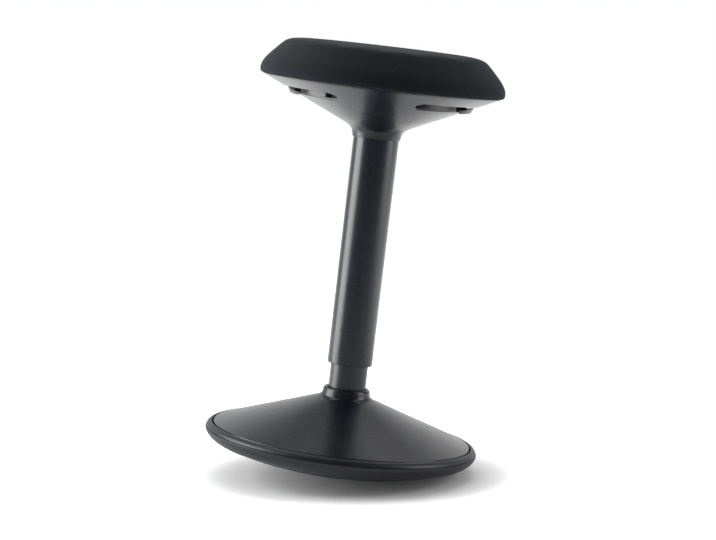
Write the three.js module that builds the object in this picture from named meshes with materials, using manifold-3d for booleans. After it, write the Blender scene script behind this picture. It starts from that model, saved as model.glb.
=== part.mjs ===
import * as THREE from 'three';
import { mergeVertices } from 'three/addons/utils/BufferGeometryUtils.js';
import Module from 'manifold-3d';

const wasm = await Module();
wasm.setup();

// Overall sizes in millimetres, floor at zero, seat at its lowest setting.
const SEAT_HEIGHT = 566;
const SEAT_RADIUS = 162.2;
const SEAT_BATTER = 34.7;
const SEAT_THICKNESS = 49.6;
const SEAT_CROWN = 1.2;
const BASE_RADIUS = 182;

// Clearances.
const FIT_GAP = 0.3;
const SLIDE_GAP = 0.35;
const OPEN_GAP = 2;
const REVEAL_GAP = 1.5;

// Rolling sole and rim.
const DOME_RADIUS = 520;
const FLAT_RADIUS = 35;
const SOLE_THICKNESS = 6;
const RIM_BULGE = 17;
const RIM_HEIGHT = 24.6;
const RIM_LIP = 9;

// Ballast casting.
const BALLAST_INSET = 5;
const BALLAST_THICKNESS = 12;
const BALLAST_BORE_RADIUS = 20.5;
const BOSS_FOOT_RADIUS = 42;
const BOSS_TOP_RADIUS = 33;
const BOSS_INSET = 7.4;

// Base cover and collar.
const COVER_RISE = 50.1;
const COVER_TOP_RADIUS = 33.5;
const COVER_WALL = 2.5;
const COVER_EDGE_ROUND = 1.8;
const COVER_SKIRT = 12;
const COLLAR_RADIUS = 34;
const COLLAR_HEIGHT = 12.2;
const COLLAR_TONGUE = 3.5;
const COVER_SCREW_INSET = 61.5;
const COVER_SCREWS = 3;
const COVER_BOSS_RADIUS = 6;

// Stand column.
const COLUMN_RADIUS = 25;
const COLUMN_WALL = 2;
const COLUMN_FOOT = 34;
const COLUMN_FLOOR = 4;
const COLUMN_CLEARANCE = 20;
const TAPER_TOP = 96;
const TAPER_DEG = 1.5;
const TAPER_WALL = 2.4;
const BUSH_LENGTH = 80;
const BUSH_FLANGE = 3;

// Gas cylinder, rod and bearing.
const ROD_RADIUS = 5;
const ROD_TAIL = 10;
const ROD_SHOULDER_RADIUS = 9;
const ROD_SHOULDER = 3.2;
const ROD_NECK_RADIUS = 4;
const RACE_RADIUS = 18;
const RACE_BORE_RADIUS = 6.5;
const RACE_THICKNESS = 2.5;
const BALL_RADIUS = 2.3;
const BALL_CIRCLE = 12.5;
const BALLS = 6;
const CAGE_THICKNESS = 1.6;
const CAGE_WIDTH = 6;
const BUFFER_RADIUS = 15;
const BUFFER_HEIGHT = 7.5;
const CLIP_RADIUS = 8.5;
const CLIP_THICKNESS = 1.6;
const CLIP_GROOVE_RADIUS = 3.9;
const CYLINDER_RADIUS = 14;
const CYLINDER_WALL = 1.7;
const CYLINDER_CRIMP = 2;
const CYLINDER_CRIMP_RADIUS = 9;
const GUIDE_LENGTH = 20;
const PISTON_LENGTH = 16;
const PISTON_OVERRUN = 8;
const GAS_RESERVE = 67.9;
const PISTON_GROOVE = 1.5;
const VALVE_LENGTH = 26;
const NECK_WALL = 2.4;
const PIN_RADIUS = 4;
const PIN_RISE = 7;

// Sleeve over the column.
const SLEEVE_RADIUS = 30;
const SLEEVE_WALL = 1.8;
const SLEEVE_CLEARANCE = 32.4;

// Casing under the seat.
const SEAT_OVERHANG = 4.7;
const CASING_DEPTH = 69.6;
const CASING_RUN = 2.19;
const CASING_WALL = 2.5;
const CASING_NECK_RADIUS = 33.2;
const CASING_LIP_RADIUS = 31.6;
const SLOT_INSET = 34.2;
const SLOT_WIDTH = 14.3;
const SLOT_HALF_DEG = 62;
const CASING_SCREW_INSET = 21.5;
const CASING_SCREW_DEGS = [18, 90, 162];
const CASING_BOSS_RADIUS = 6.4;
const TONGUE_DEGS = [240, 300];
const TONGUE_INSET = 20.5;
const TONGUE_WIDTH = 12;
const TONGUE_THICKNESS = 4;
const TONGUE_RISE = 3.2;

// Seat.
const BOARD_INSET = 12.2;
const BOARD_THICKNESS = 12;
const FABRIC_THICKNESS = 1.8;
const HEM_TUCK = 6;

// Hub that joins the cylinder to the seat board.
const HUB_LENGTH = 52;
const HUB_SOCKET_RADIUS = 21;
const HUB_COLLAR = 12;
const HUB_SHOULDER = 3.4;
const HUB_PLATE_RADIUS = 34;
const HUB_PLATE = 6;
const HUB_ARMS = 3;
const HUB_ARM_INSET = 32.5;
const HUB_ARM_WIDTH = 16;
const HUB_POST_RADIUS = 8;
const SEAT_DROP = 26.5;

// Release ring, rockers and plunger.
const RING_INSET = 7.5;
const RING_WALL = 3;
const RING_HEIGHT = 13;
const RING_TRAVEL = 5;
const TAB_CLEARANCE = 5.1;
const TAB_LIP = 7.7;
const TAB_WEB = 3.5;
const TAB_DROP = 7.8;
const TAB_REACH = 43.2;
const TAB_ROUND = 52;
const LUG_DEPTH = 13;
const LUG_WIDTH = 17;
const LUG_FLOOR = 3.5;
const LUG_HEIGHT = 11;
const ROCKER_PIVOT_RADIUS = 40;
const ROCKER_WIDTH = 8;
const ROCKER_TIP_INSET = 6.5;
const ROCKER_INNER_ARM = 32;
const ROCKER_NOSE = 3;
const ROCKER_DEPTH = 9;
const EAR_THICKNESS = 3;
const EAR_LENGTH = 12;
const EAR_HEIGHT = 12.6;
const AXLE_RADIUS = 2;
const AXLE_OVERHANG = 1;
const CAP_RADIUS = 11;
const CAP_THICKNESS = 2.5;
const CAP_SKIRT = 3.2;
const CAP_WALL = 2.4;

// Fasteners.
const BOLT_RADIUS = 3;
const BOLT_HEAD_RADIUS = 5;
const BOLT_HEAD = 3.6;
const BOLT_GRIP = 9.5;
const SCREW_RADIUS = 1.8;
const SCREW_HEAD_RADIUS = 4;
const SCREW_HEAD = 2.6;
const SCREW_GRIP = 10;
const DRIVE_RADIUS = 1.5;
const DRIVE_DEPTH = 1.4;

// Facets round each form.
const FACETS_LARGE = 60;
const FACETS_SOFT = 48;
const FACETS_MEDIUM = 32;
const FACETS_SMALL = 20;
const FACETS_TINY = 10;

const TURN = Math.PI * 2;
const rad = THREE.MathUtils.degToRad;
const lerp = THREE.MathUtils.lerp;

// Radii that follow from the sizes above.
const seatTopRadius = SEAT_RADIUS - SEAT_BATTER;
const boardRadius = SEAT_RADIUS - BOARD_INSET;
const hemRadius = boardRadius - HEM_TUCK;
const casingRadius = SEAT_RADIUS - SEAT_OVERHANG;
const casingScrewCircle = casingRadius - CASING_SCREW_INSET;
const tongueCircle = casingRadius - TONGUE_INSET;
const slotOuterRadius = casingRadius - SLOT_INSET;
const slotInnerRadius = slotOuterRadius - SLOT_WIDTH;
const ringRadius = slotInnerRadius - RING_INSET;
const ringBore = ringRadius - RING_WALL;
const tabRadius = slotOuterRadius - TAB_CLEARANCE;
const tabCentre = tabRadius - TAB_REACH;
const hubArmCircle = ringBore - HUB_ARM_INSET;
const rockerTip = ringBore - ROCKER_TIP_INSET;
const rimFootRadius = BASE_RADIUS - RIM_BULGE;
const rimLipRadius = BASE_RADIUS - RIM_LIP;
const ballastRadius = rimFootRadius - BALLAST_INSET;
const coverEdgeRadius = rimLipRadius - REVEAL_GAP;
const coverScrewCircle = coverEdgeRadius - COVER_SCREW_INSET;

function domeLevel(radius) {
  const flat = Math.sqrt(DOME_RADIUS ** 2 - FLAT_RADIUS ** 2);
  return Math.max(0, flat - Math.sqrt(DOME_RADIUS ** 2 - radius ** 2));
}

// Levels that follow from the sizes above.
const rimTop = domeLevel(rimFootRadius) + RIM_HEIGHT;
const coverTop = rimTop + COVER_RISE;
const bossTop = coverTop - BOSS_INSET;
const collarTop = coverTop + COLLAR_HEIGHT;
const hemLevel = SEAT_HEIGHT - SEAT_THICKNESS;
const casingTop = hemLevel - FIT_GAP;
const casingFoot = casingTop - CASING_DEPTH;
const boardFoot = hemLevel + FABRIC_THICKNESS + FIT_GAP;
const boardTop = boardFoot + BOARD_THICKNESS;
const hubTop = boardFoot - SEAT_DROP;
const hubFoot = hubTop - HUB_LENGTH;
const plateFoot = hubTop - HUB_PLATE;
const sleeveTop = hubFoot + HUB_COLLAR;
const sleeveFoot = collarTop + SLEEVE_CLEARANCE;
const columnTop = hubFoot - COLUMN_CLEARANCE;
const cylinderNeck = hubFoot - CYLINDER_RADIUS;
const cylinderTop = hubTop + FIT_GAP;
const pinTop = cylinderTop + PIN_RISE;
const casingRise = CASING_WALL * Math.hypot(1, CASING_RUN) / CASING_RUN;

function columnRadius(level) {
  return COLUMN_RADIUS - Math.max(0, TAPER_TOP - level) * Math.tan(rad(TAPER_DEG));
}

function cylinderRadius(level) {
  return CYLINDER_RADIUS - Math.max(0, level - hubFoot) * Math.tan(rad(TAPER_DEG));
}

function casingLevel(radius) {
  return casingTop - (casingRadius - radius) / CASING_RUN;
}

function toSolid(geometry) {
  const bare = geometry.clone();
  bare.deleteAttribute('normal');
  bare.deleteAttribute('uv');
  const merged = mergeVertices(bare, 1e-4);
  const position = merged.attributes.position;
  const source = merged.index.array;
  const kept = [];
  for (let i = 0; i < source.length; i += 3) {
    const [a, b, c] = [source[i], source[i + 1], source[i + 2]];
    if (a !== b && b !== c && c !== a) kept.push(a, b, c);
  }
  if (signedVolume(position, kept) < 0) {
    for (let i = 0; i < kept.length; i += 3) {
      const first = kept[i];
      kept[i] = kept[i + 1];
      kept[i + 1] = first;
    }
  }
  const mesh = new wasm.Mesh({
    numProp: 3,
    vertProperties: Float32Array.from(position.array),
    triVerts: Uint32Array.from(kept),
  });
  mesh.merge();
  return new wasm.Manifold(mesh);
}

function signedVolume(position, triangles) {
  const a = new THREE.Vector3();
  const b = new THREE.Vector3();
  const c = new THREE.Vector3();
  let sum = 0;
  for (let i = 0; i < triangles.length; i += 3) {
    a.fromBufferAttribute(position, triangles[i]);
    b.fromBufferAttribute(position, triangles[i + 1]);
    c.fromBufferAttribute(position, triangles[i + 2]);
    sum += a.dot(b.cross(c));
  }
  return sum;
}

function toGeometry(solid) {
  const mesh = solid.getMesh();
  const geometry = new THREE.BufferGeometry();
  const points = new Float32Array(mesh.numVert * 3);
  for (let i = 0; i < mesh.numVert; i += 1) {
    for (let k = 0; k < 3; k += 1) points[i * 3 + k] = mesh.vertProperties[i * mesh.numProp + k];
  }
  geometry.setAttribute('position', new THREE.BufferAttribute(points, 3));
  geometry.setIndex(new THREE.BufferAttribute(Uint32Array.from(mesh.triVerts), 1));
  return geometry;
}

function union(solids) {
  return solids.reduce((whole, piece) => whole.add(piece));
}

function without(solid, tools) {
  return tools.reduce((rest, tool) => rest.subtract(tool), solid);
}

// A profile of [radius, level] pairs turned about the vertical axis.
function turned(profile, facets) {
  const points = profile.map(([radius, level]) => new THREE.Vector2(radius, level));
  const onAxis = points[0].x === 0 && points[points.length - 1].x === 0;
  if (!onAxis) points.push(points[0].clone());
  const geometry = new THREE.LatheGeometry(points, facets);
  geometry.rotateX(Math.PI / 2);
  return toSolid(geometry);
}

function disc(radius, foot, top, facets) {
  return turned([[0, foot], [radius, foot], [radius, top], [0, top]], facets);
}

function sleeve(inner, outer, foot, top, facets) {
  return turned([[inner, foot], [outer, foot], [outer, top], [inner, top]], facets);
}

function block(fromX, toX, width, foot, top) {
  const geometry = new THREE.BoxGeometry(toX - fromX, width, top - foot);
  geometry.translate((fromX + toX) / 2, 0, (foot + top) / 2);
  return toSolid(geometry);
}

function shifted(solid, x, y, z) {
  return solid.translate([x, y, z]);
}

function spun(solid, degrees) {
  return solid.rotate([0, 0, degrees]);
}

function placed(solid, circle, degrees) {
  return spun(shifted(solid, circle, 0, 0), degrees);
}

// A side outline of [x, z] pairs given thickness along y.
function slab(outline, width) {
  const shape = new THREE.Shape(outline.map(([x, z]) => new THREE.Vector2(x, z)));
  const geometry = new THREE.ExtrudeGeometry(shape, { depth: width, bevelEnabled: false });
  geometry.rotateX(Math.PI / 2);
  geometry.translate(0, width / 2, 0);
  return toSolid(geometry);
}

function crossPin(radius, width, x, z, facets) {
  const geometry = new THREE.CylinderGeometry(radius, radius, width, facets);
  geometry.translate(x, 0, z);
  return toSolid(geometry);
}

function everyTurn(count, startDegrees) {
  return Array.from({ length: count }, (_, i) => startDegrees + (i * 360) / count);
}

// Base.

const rimShares = [
  [0.42, 0.16], [0.7, 0.31], [0.9, 0.47], [1, 0.66],
  [0.95, 0.84], [0.8, 0.95], [0.62, 1], [0.5, 0.98],
];
const domeShares = [0.42, 0.64, 0.83, 1];

function makeSole() {
  const foot = domeLevel(rimFootRadius);
  const dome = domeShares.map((share) => share * rimFootRadius).map((r) => [r, domeLevel(r)]);
  const rim = rimShares.map(([across, up]) => [
    lerp(rimFootRadius, BASE_RADIUS, across),
    lerp(foot, rimTop, up),
  ]);
  const lip = [rimLipRadius, lerp(foot, rimTop, 0.9)];
  const well = [rimLipRadius, domeLevel(rimLipRadius) + SOLE_THICKNESS];
  const inside = dome.map(([r, level]) => [r, level + SOLE_THICKNESS]).reverse();
  const profile = [
    [0, 0], [FLAT_RADIUS, 0], ...dome, ...rim, lip, well, ...inside,
    [FLAT_RADIUS, SOLE_THICKNESS], [0, SOLE_THICKNESS],
  ];
  return turned(profile, FACETS_LARGE);
}

const ballastFoot = (radius) => domeLevel(radius) + SOLE_THICKNESS + FIT_GAP;
const ballastTop = (radius) => ballastFoot(radius) + BALLAST_THICKNESS;
const coverScrewDegs = everyTurn(COVER_SCREWS, 90);
const coverSeatLevel = ballastTop(coverScrewCircle + COVER_BOSS_RADIUS) + FIT_GAP;
const coverHeadTop = ballastFoot(coverScrewCircle) + SCREW_HEAD + OPEN_GAP;

function makeBallast() {
  const radii = domeShares.map((share) => share * ballastRadius);
  const under = radii.map((r) => [r, ballastFoot(r)]);
  const above = radii.filter((r) => r > BOSS_FOOT_RADIUS).map((r) => [r, ballastTop(r)]).reverse();
  const profile = [
    [BALLAST_BORE_RADIUS, ballastFoot(0)], ...under, ...above,
    [BOSS_FOOT_RADIUS, ballastTop(BOSS_FOOT_RADIUS)], [BOSS_TOP_RADIUS, bossTop],
    [columnRadius(bossTop) + FIT_GAP, bossTop],
    [columnRadius(COLUMN_FOOT) + FIT_GAP, COLUMN_FOOT],
    [BALLAST_BORE_RADIUS, COLUMN_FOOT - FIT_GAP],
  ];
  const cuts = [];
  for (const degrees of coverScrewDegs) {
    const shank = disc(SCREW_RADIUS + FIT_GAP, 0, coverTop, FACETS_TINY);
    const head = disc(SCREW_HEAD_RADIUS + FIT_GAP, 0, coverHeadTop + FIT_GAP, FACETS_TINY);
    cuts.push(placed(shank, coverScrewCircle, degrees), placed(head, coverScrewCircle, degrees));
  }
  return without(turned(profile, FACETS_MEDIUM), cuts);
}

const coverRun = (coverEdgeRadius - COVER_TOP_RADIUS) / (coverTop - rimTop);
const coverRise = COVER_WALL * Math.hypot(1, coverRun) / coverRun;

function makeBaseCover() {
  const shell = turned([
    [COLUMN_RADIUS + REVEAL_GAP, coverTop],
    [COLUMN_RADIUS + REVEAL_GAP, coverTop - coverRise],
    [COVER_TOP_RADIUS, coverTop - coverRise],
    [coverEdgeRadius - COVER_WALL, rimTop - coverRise + COVER_WALL / coverRun],
    [coverEdgeRadius - COVER_WALL, rimTop - COVER_SKIRT],
    [coverEdgeRadius, rimTop - COVER_SKIRT],
    [coverEdgeRadius, rimTop - COVER_EDGE_ROUND],
    [coverEdgeRadius - COVER_EDGE_ROUND / 4, rimTop - COVER_EDGE_ROUND / 4],
    [coverEdgeRadius - COVER_EDGE_ROUND, rimTop + COVER_EDGE_ROUND / coverRun],
    [COVER_TOP_RADIUS, coverTop],
  ], FACETS_LARGE);
  const bosses = [];
  const pilots = [];
  const under = turned([
    [COVER_TOP_RADIUS, 0], [coverEdgeRadius, 0], [coverEdgeRadius, rimTop - coverRise / 2],
    [COVER_TOP_RADIUS, coverTop - coverRise / 2],
  ], FACETS_LARGE);
  for (const degrees of coverScrewDegs) {
    const boss = disc(COVER_BOSS_RADIUS, coverSeatLevel, coverTop, FACETS_TINY);
    const pilot = disc(SCREW_RADIUS + FIT_GAP, 0, coverSeatLevel + SCREW_GRIP + OPEN_GAP, FACETS_TINY);
    bosses.push(placed(boss, coverScrewCircle, degrees).intersect(under));
    pilots.push(placed(pilot, coverScrewCircle, degrees));
  }
  return without(union([shell, ...bosses]), pilots);
}

const collarShares = [[0.96, 0.26], [0.8, 0.5], [0.69, 0.72], [0.52, 0.92], [0.36, 1]];

function makeCollar() {
  const bore = COLUMN_RADIUS + SLIDE_GAP;
  const seat = coverTop + FIT_GAP;
  const tongue = COLUMN_RADIUS + REVEAL_GAP - FIT_GAP;
  const outside = collarShares.map(([across, up]) => [
    lerp(bore, COLLAR_RADIUS, across),
    lerp(seat, collarTop, up),
  ]);
  return turned([
    [bore, coverTop - COLLAR_TONGUE], [tongue, coverTop - COLLAR_TONGUE], [tongue, seat],
    [COLLAR_RADIUS, seat], ...outside, [bore, lerp(seat, collarTop, 0.82)],
  ], FACETS_MEDIUM);
}

// A screw or bolt with its head below and its tip above.
function makeFastener(radius, headRadius, headHeight, foot, top) {
  const head = foot + headHeight;
  const body = turned([
    [0, foot], [headRadius - headHeight / 4, foot], [headRadius, foot + headHeight / 4],
    [headRadius, head], [radius, head], [radius, top - radius / 2], [radius / 2, top], [0, top],
  ], FACETS_TINY);
  return body.subtract(disc(headRadius * DRIVE_RADIUS / SCREW_HEAD_RADIUS, 0, foot + DRIVE_DEPTH, 6));
}

// Column, bearing and gas cylinder.

const cavityRadius = columnRadius(COLUMN_FOOT) - TAPER_WALL;
const bearingFoot = COLUMN_FOOT + COLUMN_FLOOR + FIT_GAP;
const ballLevel = bearingFoot + RACE_THICKNESS + FIT_GAP + BALL_RADIUS;
const upperRaceFoot = ballLevel + BALL_RADIUS + FIT_GAP;
const shoulderFoot = upperRaceFoot + RACE_THICKNESS + FIT_GAP;
const shoulderTop = shoulderFoot + ROD_SHOULDER;
const bufferTop = shoulderTop + FIT_GAP + BUFFER_HEIGHT;
const cylinderFoot = bufferTop + OPEN_GAP;
const guideFoot = cylinderFoot + CYLINDER_CRIMP + FIT_GAP;
const guideTop = guideFoot + GUIDE_LENGTH;
const pistonTop = cylinderNeck - GAS_RESERVE;
const pistonFoot = pistonTop - PISTON_LENGTH;
const stroke = pistonFoot - PISTON_OVERRUN - guideTop;
const cylinderBore = CYLINDER_RADIUS - CYLINDER_WALL;
const neckBore = cylinderRadius(cylinderTop) - NECK_WALL;
const clipLevel = COLUMN_FOOT - FIT_GAP - CLIP_THICKNESS;

function makeColumn() {
  const bore = COLUMN_RADIUS - COLUMN_WALL;
  const waist = TAPER_TOP + COLUMN_FLOOR;
  return turned([
    [ROD_RADIUS + FIT_GAP, COLUMN_FOOT], [columnRadius(COLUMN_FOOT), COLUMN_FOOT],
    [COLUMN_RADIUS, TAPER_TOP], [COLUMN_RADIUS, columnTop], [bore, columnTop],
    [bore, waist + COLUMN_FLOOR], [cavityRadius, waist],
    [cavityRadius, COLUMN_FOOT + COLUMN_FLOOR], [ROD_RADIUS + FIT_GAP, COLUMN_FOOT + COLUMN_FLOOR],
  ], FACETS_MEDIUM);
}

function makeBush() {
  const bore = CYLINDER_RADIUS + SLIDE_GAP;
  const outer = COLUMN_RADIUS - COLUMN_WALL - FIT_GAP;
  const seat = columnTop + FIT_GAP;
  return turned([
    [bore, columnTop - BUSH_LENGTH], [outer, columnTop - BUSH_LENGTH], [outer, seat],
    [COLUMN_RADIUS, seat], [COLUMN_RADIUS, seat + BUSH_FLANGE / 2],
    [COLUMN_RADIUS - BUSH_FLANGE / 2, seat + BUSH_FLANGE], [bore, seat + BUSH_FLANGE],
  ], FACETS_MEDIUM);
}

function makeRace(foot) {
  return sleeve(RACE_BORE_RADIUS, RACE_RADIUS, foot, foot + RACE_THICKNESS, FACETS_SMALL);
}

function makeBallCage() {
  const half = CAGE_WIDTH / 2;
  const foot = ballLevel - CAGE_THICKNESS / 2;
  const ring = sleeve(BALL_CIRCLE - half, BALL_CIRCLE + half, foot, foot + CAGE_THICKNESS, FACETS_SMALL);
  const ball = toSolid(new THREE.SphereGeometry(BALL_RADIUS, 8, 4));
  const balls = everyTurn(BALLS, 0).map((degrees) => (
    placed(shifted(ball, 0, 0, ballLevel), BALL_CIRCLE, degrees)
  ));
  return union([ring, ...balls]);
}

function makeRod() {
  return turned([
    [0, COLUMN_FOOT - ROD_TAIL], [ROD_NECK_RADIUS, COLUMN_FOOT - ROD_TAIL],
    [ROD_RADIUS, COLUMN_FOOT - ROD_TAIL + ROD_RADIUS - ROD_NECK_RADIUS],
    [ROD_RADIUS, clipLevel - FIT_GAP], [CLIP_GROOVE_RADIUS, clipLevel - FIT_GAP],
    [CLIP_GROOVE_RADIUS, clipLevel + CLIP_THICKNESS + FIT_GAP / 2],
    [ROD_RADIUS, clipLevel + CLIP_THICKNESS + FIT_GAP / 2],
    [ROD_RADIUS, shoulderFoot], [ROD_SHOULDER_RADIUS, shoulderFoot], [ROD_SHOULDER_RADIUS, shoulderTop],
    [ROD_RADIUS, shoulderTop], [ROD_RADIUS, pistonFoot - FIT_GAP], [ROD_NECK_RADIUS, pistonFoot - FIT_GAP],
    [ROD_NECK_RADIUS, pistonTop + ROD_NECK_RADIUS], [0, pistonTop + ROD_NECK_RADIUS],
  ], FACETS_SMALL);
}

function makePiston() {
  const outer = cylinderBore - FIT_GAP;
  const third = PISTON_LENGTH / 3;
  return turned([
    [ROD_NECK_RADIUS + FIT_GAP, pistonFoot], [outer, pistonFoot], [outer, pistonFoot + third],
    [outer - PISTON_GROOVE, pistonFoot + third], [outer - PISTON_GROOVE, pistonTop - third],
    [outer, pistonTop - third], [outer, pistonTop], [ROD_NECK_RADIUS + FIT_GAP, pistonTop],
  ], FACETS_SMALL);
}

function makeClip() {
  const top = clipLevel + CLIP_THICKNESS;
  const ring = sleeve(CLIP_GROOVE_RADIUS + FIT_GAP, CLIP_RADIUS, clipLevel, top, FACETS_SMALL);
  return ring.subtract(block(0, CLIP_RADIUS * 2, ROD_NECK_RADIUS, 0, COLUMN_FOOT));
}

function makeBuffer() {
  const foot = shoulderTop + FIT_GAP;
  return turned([
    [ROD_RADIUS + FIT_GAP, foot], [BUFFER_RADIUS - 0.2 * BUFFER_HEIGHT, foot],
    [BUFFER_RADIUS, foot + 0.2 * BUFFER_HEIGHT], [BUFFER_RADIUS, bufferTop - 0.2 * BUFFER_HEIGHT],
    [BUFFER_RADIUS - 0.2 * BUFFER_HEIGHT, bufferTop], [ROD_RADIUS + FIT_GAP, bufferTop],
  ], FACETS_SMALL);
}

function makeCylinder() {
  const roof = cylinderTop - CYLINDER_CRIMP;
  return turned([
    [CYLINDER_CRIMP_RADIUS, cylinderFoot], [CYLINDER_RADIUS, cylinderFoot], [CYLINDER_RADIUS, hubFoot],
    [cylinderRadius(cylinderTop), cylinderTop], [PIN_RADIUS + FIT_GAP, cylinderTop],
    [PIN_RADIUS + FIT_GAP, roof], [neckBore, roof], [neckBore, cylinderNeck],
    [cylinderBore, cylinderNeck - CYLINDER_WALL], [cylinderBore, cylinderFoot + CYLINDER_CRIMP],
    [CYLINDER_CRIMP_RADIUS, cylinderFoot + CYLINDER_CRIMP],
  ], FACETS_MEDIUM);
}

function makeRodGuide() {
  return sleeve(ROD_RADIUS + FIT_GAP, cylinderBore - FIT_GAP, guideFoot, guideTop, FACETS_SMALL);
}

const valveTop = cylinderTop - CYLINDER_CRIMP - FIT_GAP;

function makeValve() {
  const foot = valveTop - VALVE_LENGTH;
  const outer = neckBore - FIT_GAP;
  const third = VALVE_LENGTH / 3;
  return turned([
    [PIN_RADIUS + FIT_GAP, foot], [outer - PISTON_GROOVE, foot], [outer - PISTON_GROOVE, foot + third],
    [outer, foot + third], [outer, valveTop], [PIN_RADIUS + FIT_GAP, valveTop],
  ], FACETS_SMALL);
}

function makeSleeve() {
  const inner = SLEEVE_RADIUS - SLEEVE_WALL;
  const lip = SLEEVE_WALL / 3;
  return turned([
    [inner + lip, sleeveFoot], [SLEEVE_RADIUS - lip, sleeveFoot], [SLEEVE_RADIUS, sleeveFoot + lip],
    [SLEEVE_RADIUS, sleeveTop], [inner, sleeveTop], [inner, sleeveFoot + lip],
  ], FACETS_MEDIUM);
}

// Seat hub and casing.

const hubArmDegs = everyTurn(HUB_ARMS, 30);
const rockerDegs = everyTurn(HUB_ARMS, 90);
const pivotLevel = hubTop + 0.63 * EAR_HEIGHT;
const earOffset = ROCKER_WIDTH / 2 + FIT_GAP * 2 + EAR_THICKNESS / 2;
const earWidth = (earOffset + EAR_THICKNESS / 2) * 2;

function makeHub() {
  const skirt = SLEEVE_RADIUS - SLEEVE_WALL - FIT_GAP;
  const shoulder = sleeveTop + FIT_GAP;
  const core = turned([
    [cylinderRadius(hubFoot) + FIT_GAP, hubFoot], [skirt, hubFoot], [skirt, shoulder],
    [SLEEVE_RADIUS, shoulder], [SLEEVE_RADIUS, shoulder + HUB_SHOULDER],
    [HUB_SOCKET_RADIUS, shoulder + HUB_SHOULDER * 2], [HUB_SOCKET_RADIUS, plateFoot],
    [HUB_PLATE_RADIUS, plateFoot], [HUB_PLATE_RADIUS, hubTop],
    [cylinderRadius(hubTop) + FIT_GAP, hubTop],
  ], FACETS_MEDIUM);
  const solids = [core];
  const holes = [];
  for (const degrees of hubArmDegs) {
    const arm = block(HUB_SOCKET_RADIUS, hubArmCircle, HUB_ARM_WIDTH, plateFoot, hubTop);
    const post = disc(HUB_POST_RADIUS, plateFoot, boardFoot - FIT_GAP, FACETS_SMALL);
    const bolt = disc(BOLT_RADIUS + FIT_GAP, 0, SEAT_HEIGHT, FACETS_TINY);
    solids.push(spun(arm, degrees), placed(post, hubArmCircle, degrees));
    holes.push(placed(bolt, hubArmCircle, degrees));
  }
  const earFrom = ROCKER_PIVOT_RADIUS - EAR_LENGTH / 2;
  const earTo = ROCKER_PIVOT_RADIUS + EAR_LENGTH / 2;
  for (const degrees of rockerDegs) {
    const shelf = block(HUB_SOCKET_RADIUS, earTo, earWidth, plateFoot, hubTop);
    const ear = block(earFrom, earTo, EAR_THICKNESS, plateFoot, hubTop + EAR_HEIGHT);
    const hole = crossPin(AXLE_RADIUS + FIT_GAP, earWidth * 2, ROCKER_PIVOT_RADIUS, pivotLevel, FACETS_TINY);
    solids.push(spun(shelf, degrees));
    for (const side of [-1, 1]) solids.push(spun(shifted(ear, 0, side * earOffset, 0), degrees));
    holes.push(spun(hole, degrees));
  }
  return without(union(solids), holes);
}

const neckShares = [[0, 0], [0.3, 0.35], [1, 1]];
const flareShares = [[0, 0], [0.06, 0.28], [0.2, 0.5], [0.5, 0.77], [1, 1]];

function makeCasing() {
  const flareRadius = CASING_NECK_RADIUS + CASING_LIP_RADIUS / 2;
  const flareTop = casingLevel(flareRadius);
  const neckTop = casingFoot + 0.36 * (flareTop - casingFoot);
  const neck = neckShares.map(([across, up]) => [
    lerp(CASING_LIP_RADIUS, CASING_NECK_RADIUS, across),
    lerp(casingFoot, neckTop, up),
  ]);
  const flare = flareShares.slice(1).map(([across, up]) => [
    lerp(CASING_NECK_RADIUS, flareRadius, across),
    lerp(neckTop, flareTop, up),
  ]);
  const bore = SLEEVE_RADIUS + FIT_GAP;
  const inner = flare.slice(1, -1).filter((_, i) => i > 0).reverse().map(([radius, level]) => (
    [radius - CASING_WALL * 0.35, level + CASING_WALL]
  ));
  const shell = turned([
    ...neck, ...flare, [casingRadius, casingTop], [casingRadius - casingRise * CASING_RUN, casingTop],
    [flareRadius, flareTop + casingRise], ...inner, [bore, neckTop], [bore, casingFoot],
  ], FACETS_LARGE);
  const solids = [shell];
  const cuts = [];
  const headRoof = casingLevel(casingScrewCircle) + SCREW_HEAD + OPEN_GAP;
  const below = turned([
    [CASING_NECK_RADIUS, casingFoot], [casingRadius * 2, casingFoot],
    [casingRadius * 2, casingLevel(casingRadius * 2)], [CASING_NECK_RADIUS, casingLevel(CASING_NECK_RADIUS)],
  ], FACETS_LARGE);
  for (const degrees of CASING_SCREW_DEGS) {
    const boss = placed(
      disc(CASING_BOSS_RADIUS, casingFoot, boardFoot - FIT_GAP, FACETS_SMALL),
      casingScrewCircle, degrees);
    const shank = disc(SCREW_RADIUS + FIT_GAP, 0, SEAT_HEIGHT, FACETS_TINY);
    const head = disc(SCREW_HEAD_RADIUS + FIT_GAP, casingFoot, headRoof + FIT_GAP, FACETS_SMALL);
    solids.push(boss.subtract(below));
    cuts.push(placed(shank, casingScrewCircle, degrees), placed(head, casingScrewCircle, degrees));
  }
  for (const degrees of TONGUE_DEGS) {
    const half = TONGUE_THICKNESS / 2;
    const foot = casingLevel(tongueCircle + half) + casingRise / 3;
    const top = boardFoot + TONGUE_RISE;
    const tongue = block(tongueCircle - half, tongueCircle + half, TONGUE_WIDTH, foot, top);
    solids.push(spun(tongue, degrees));
  }
  for (const side of [0, 180]) cuts.push(spun(slotTool(), side));
  return without(union(solids), cuts);
}

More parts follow.
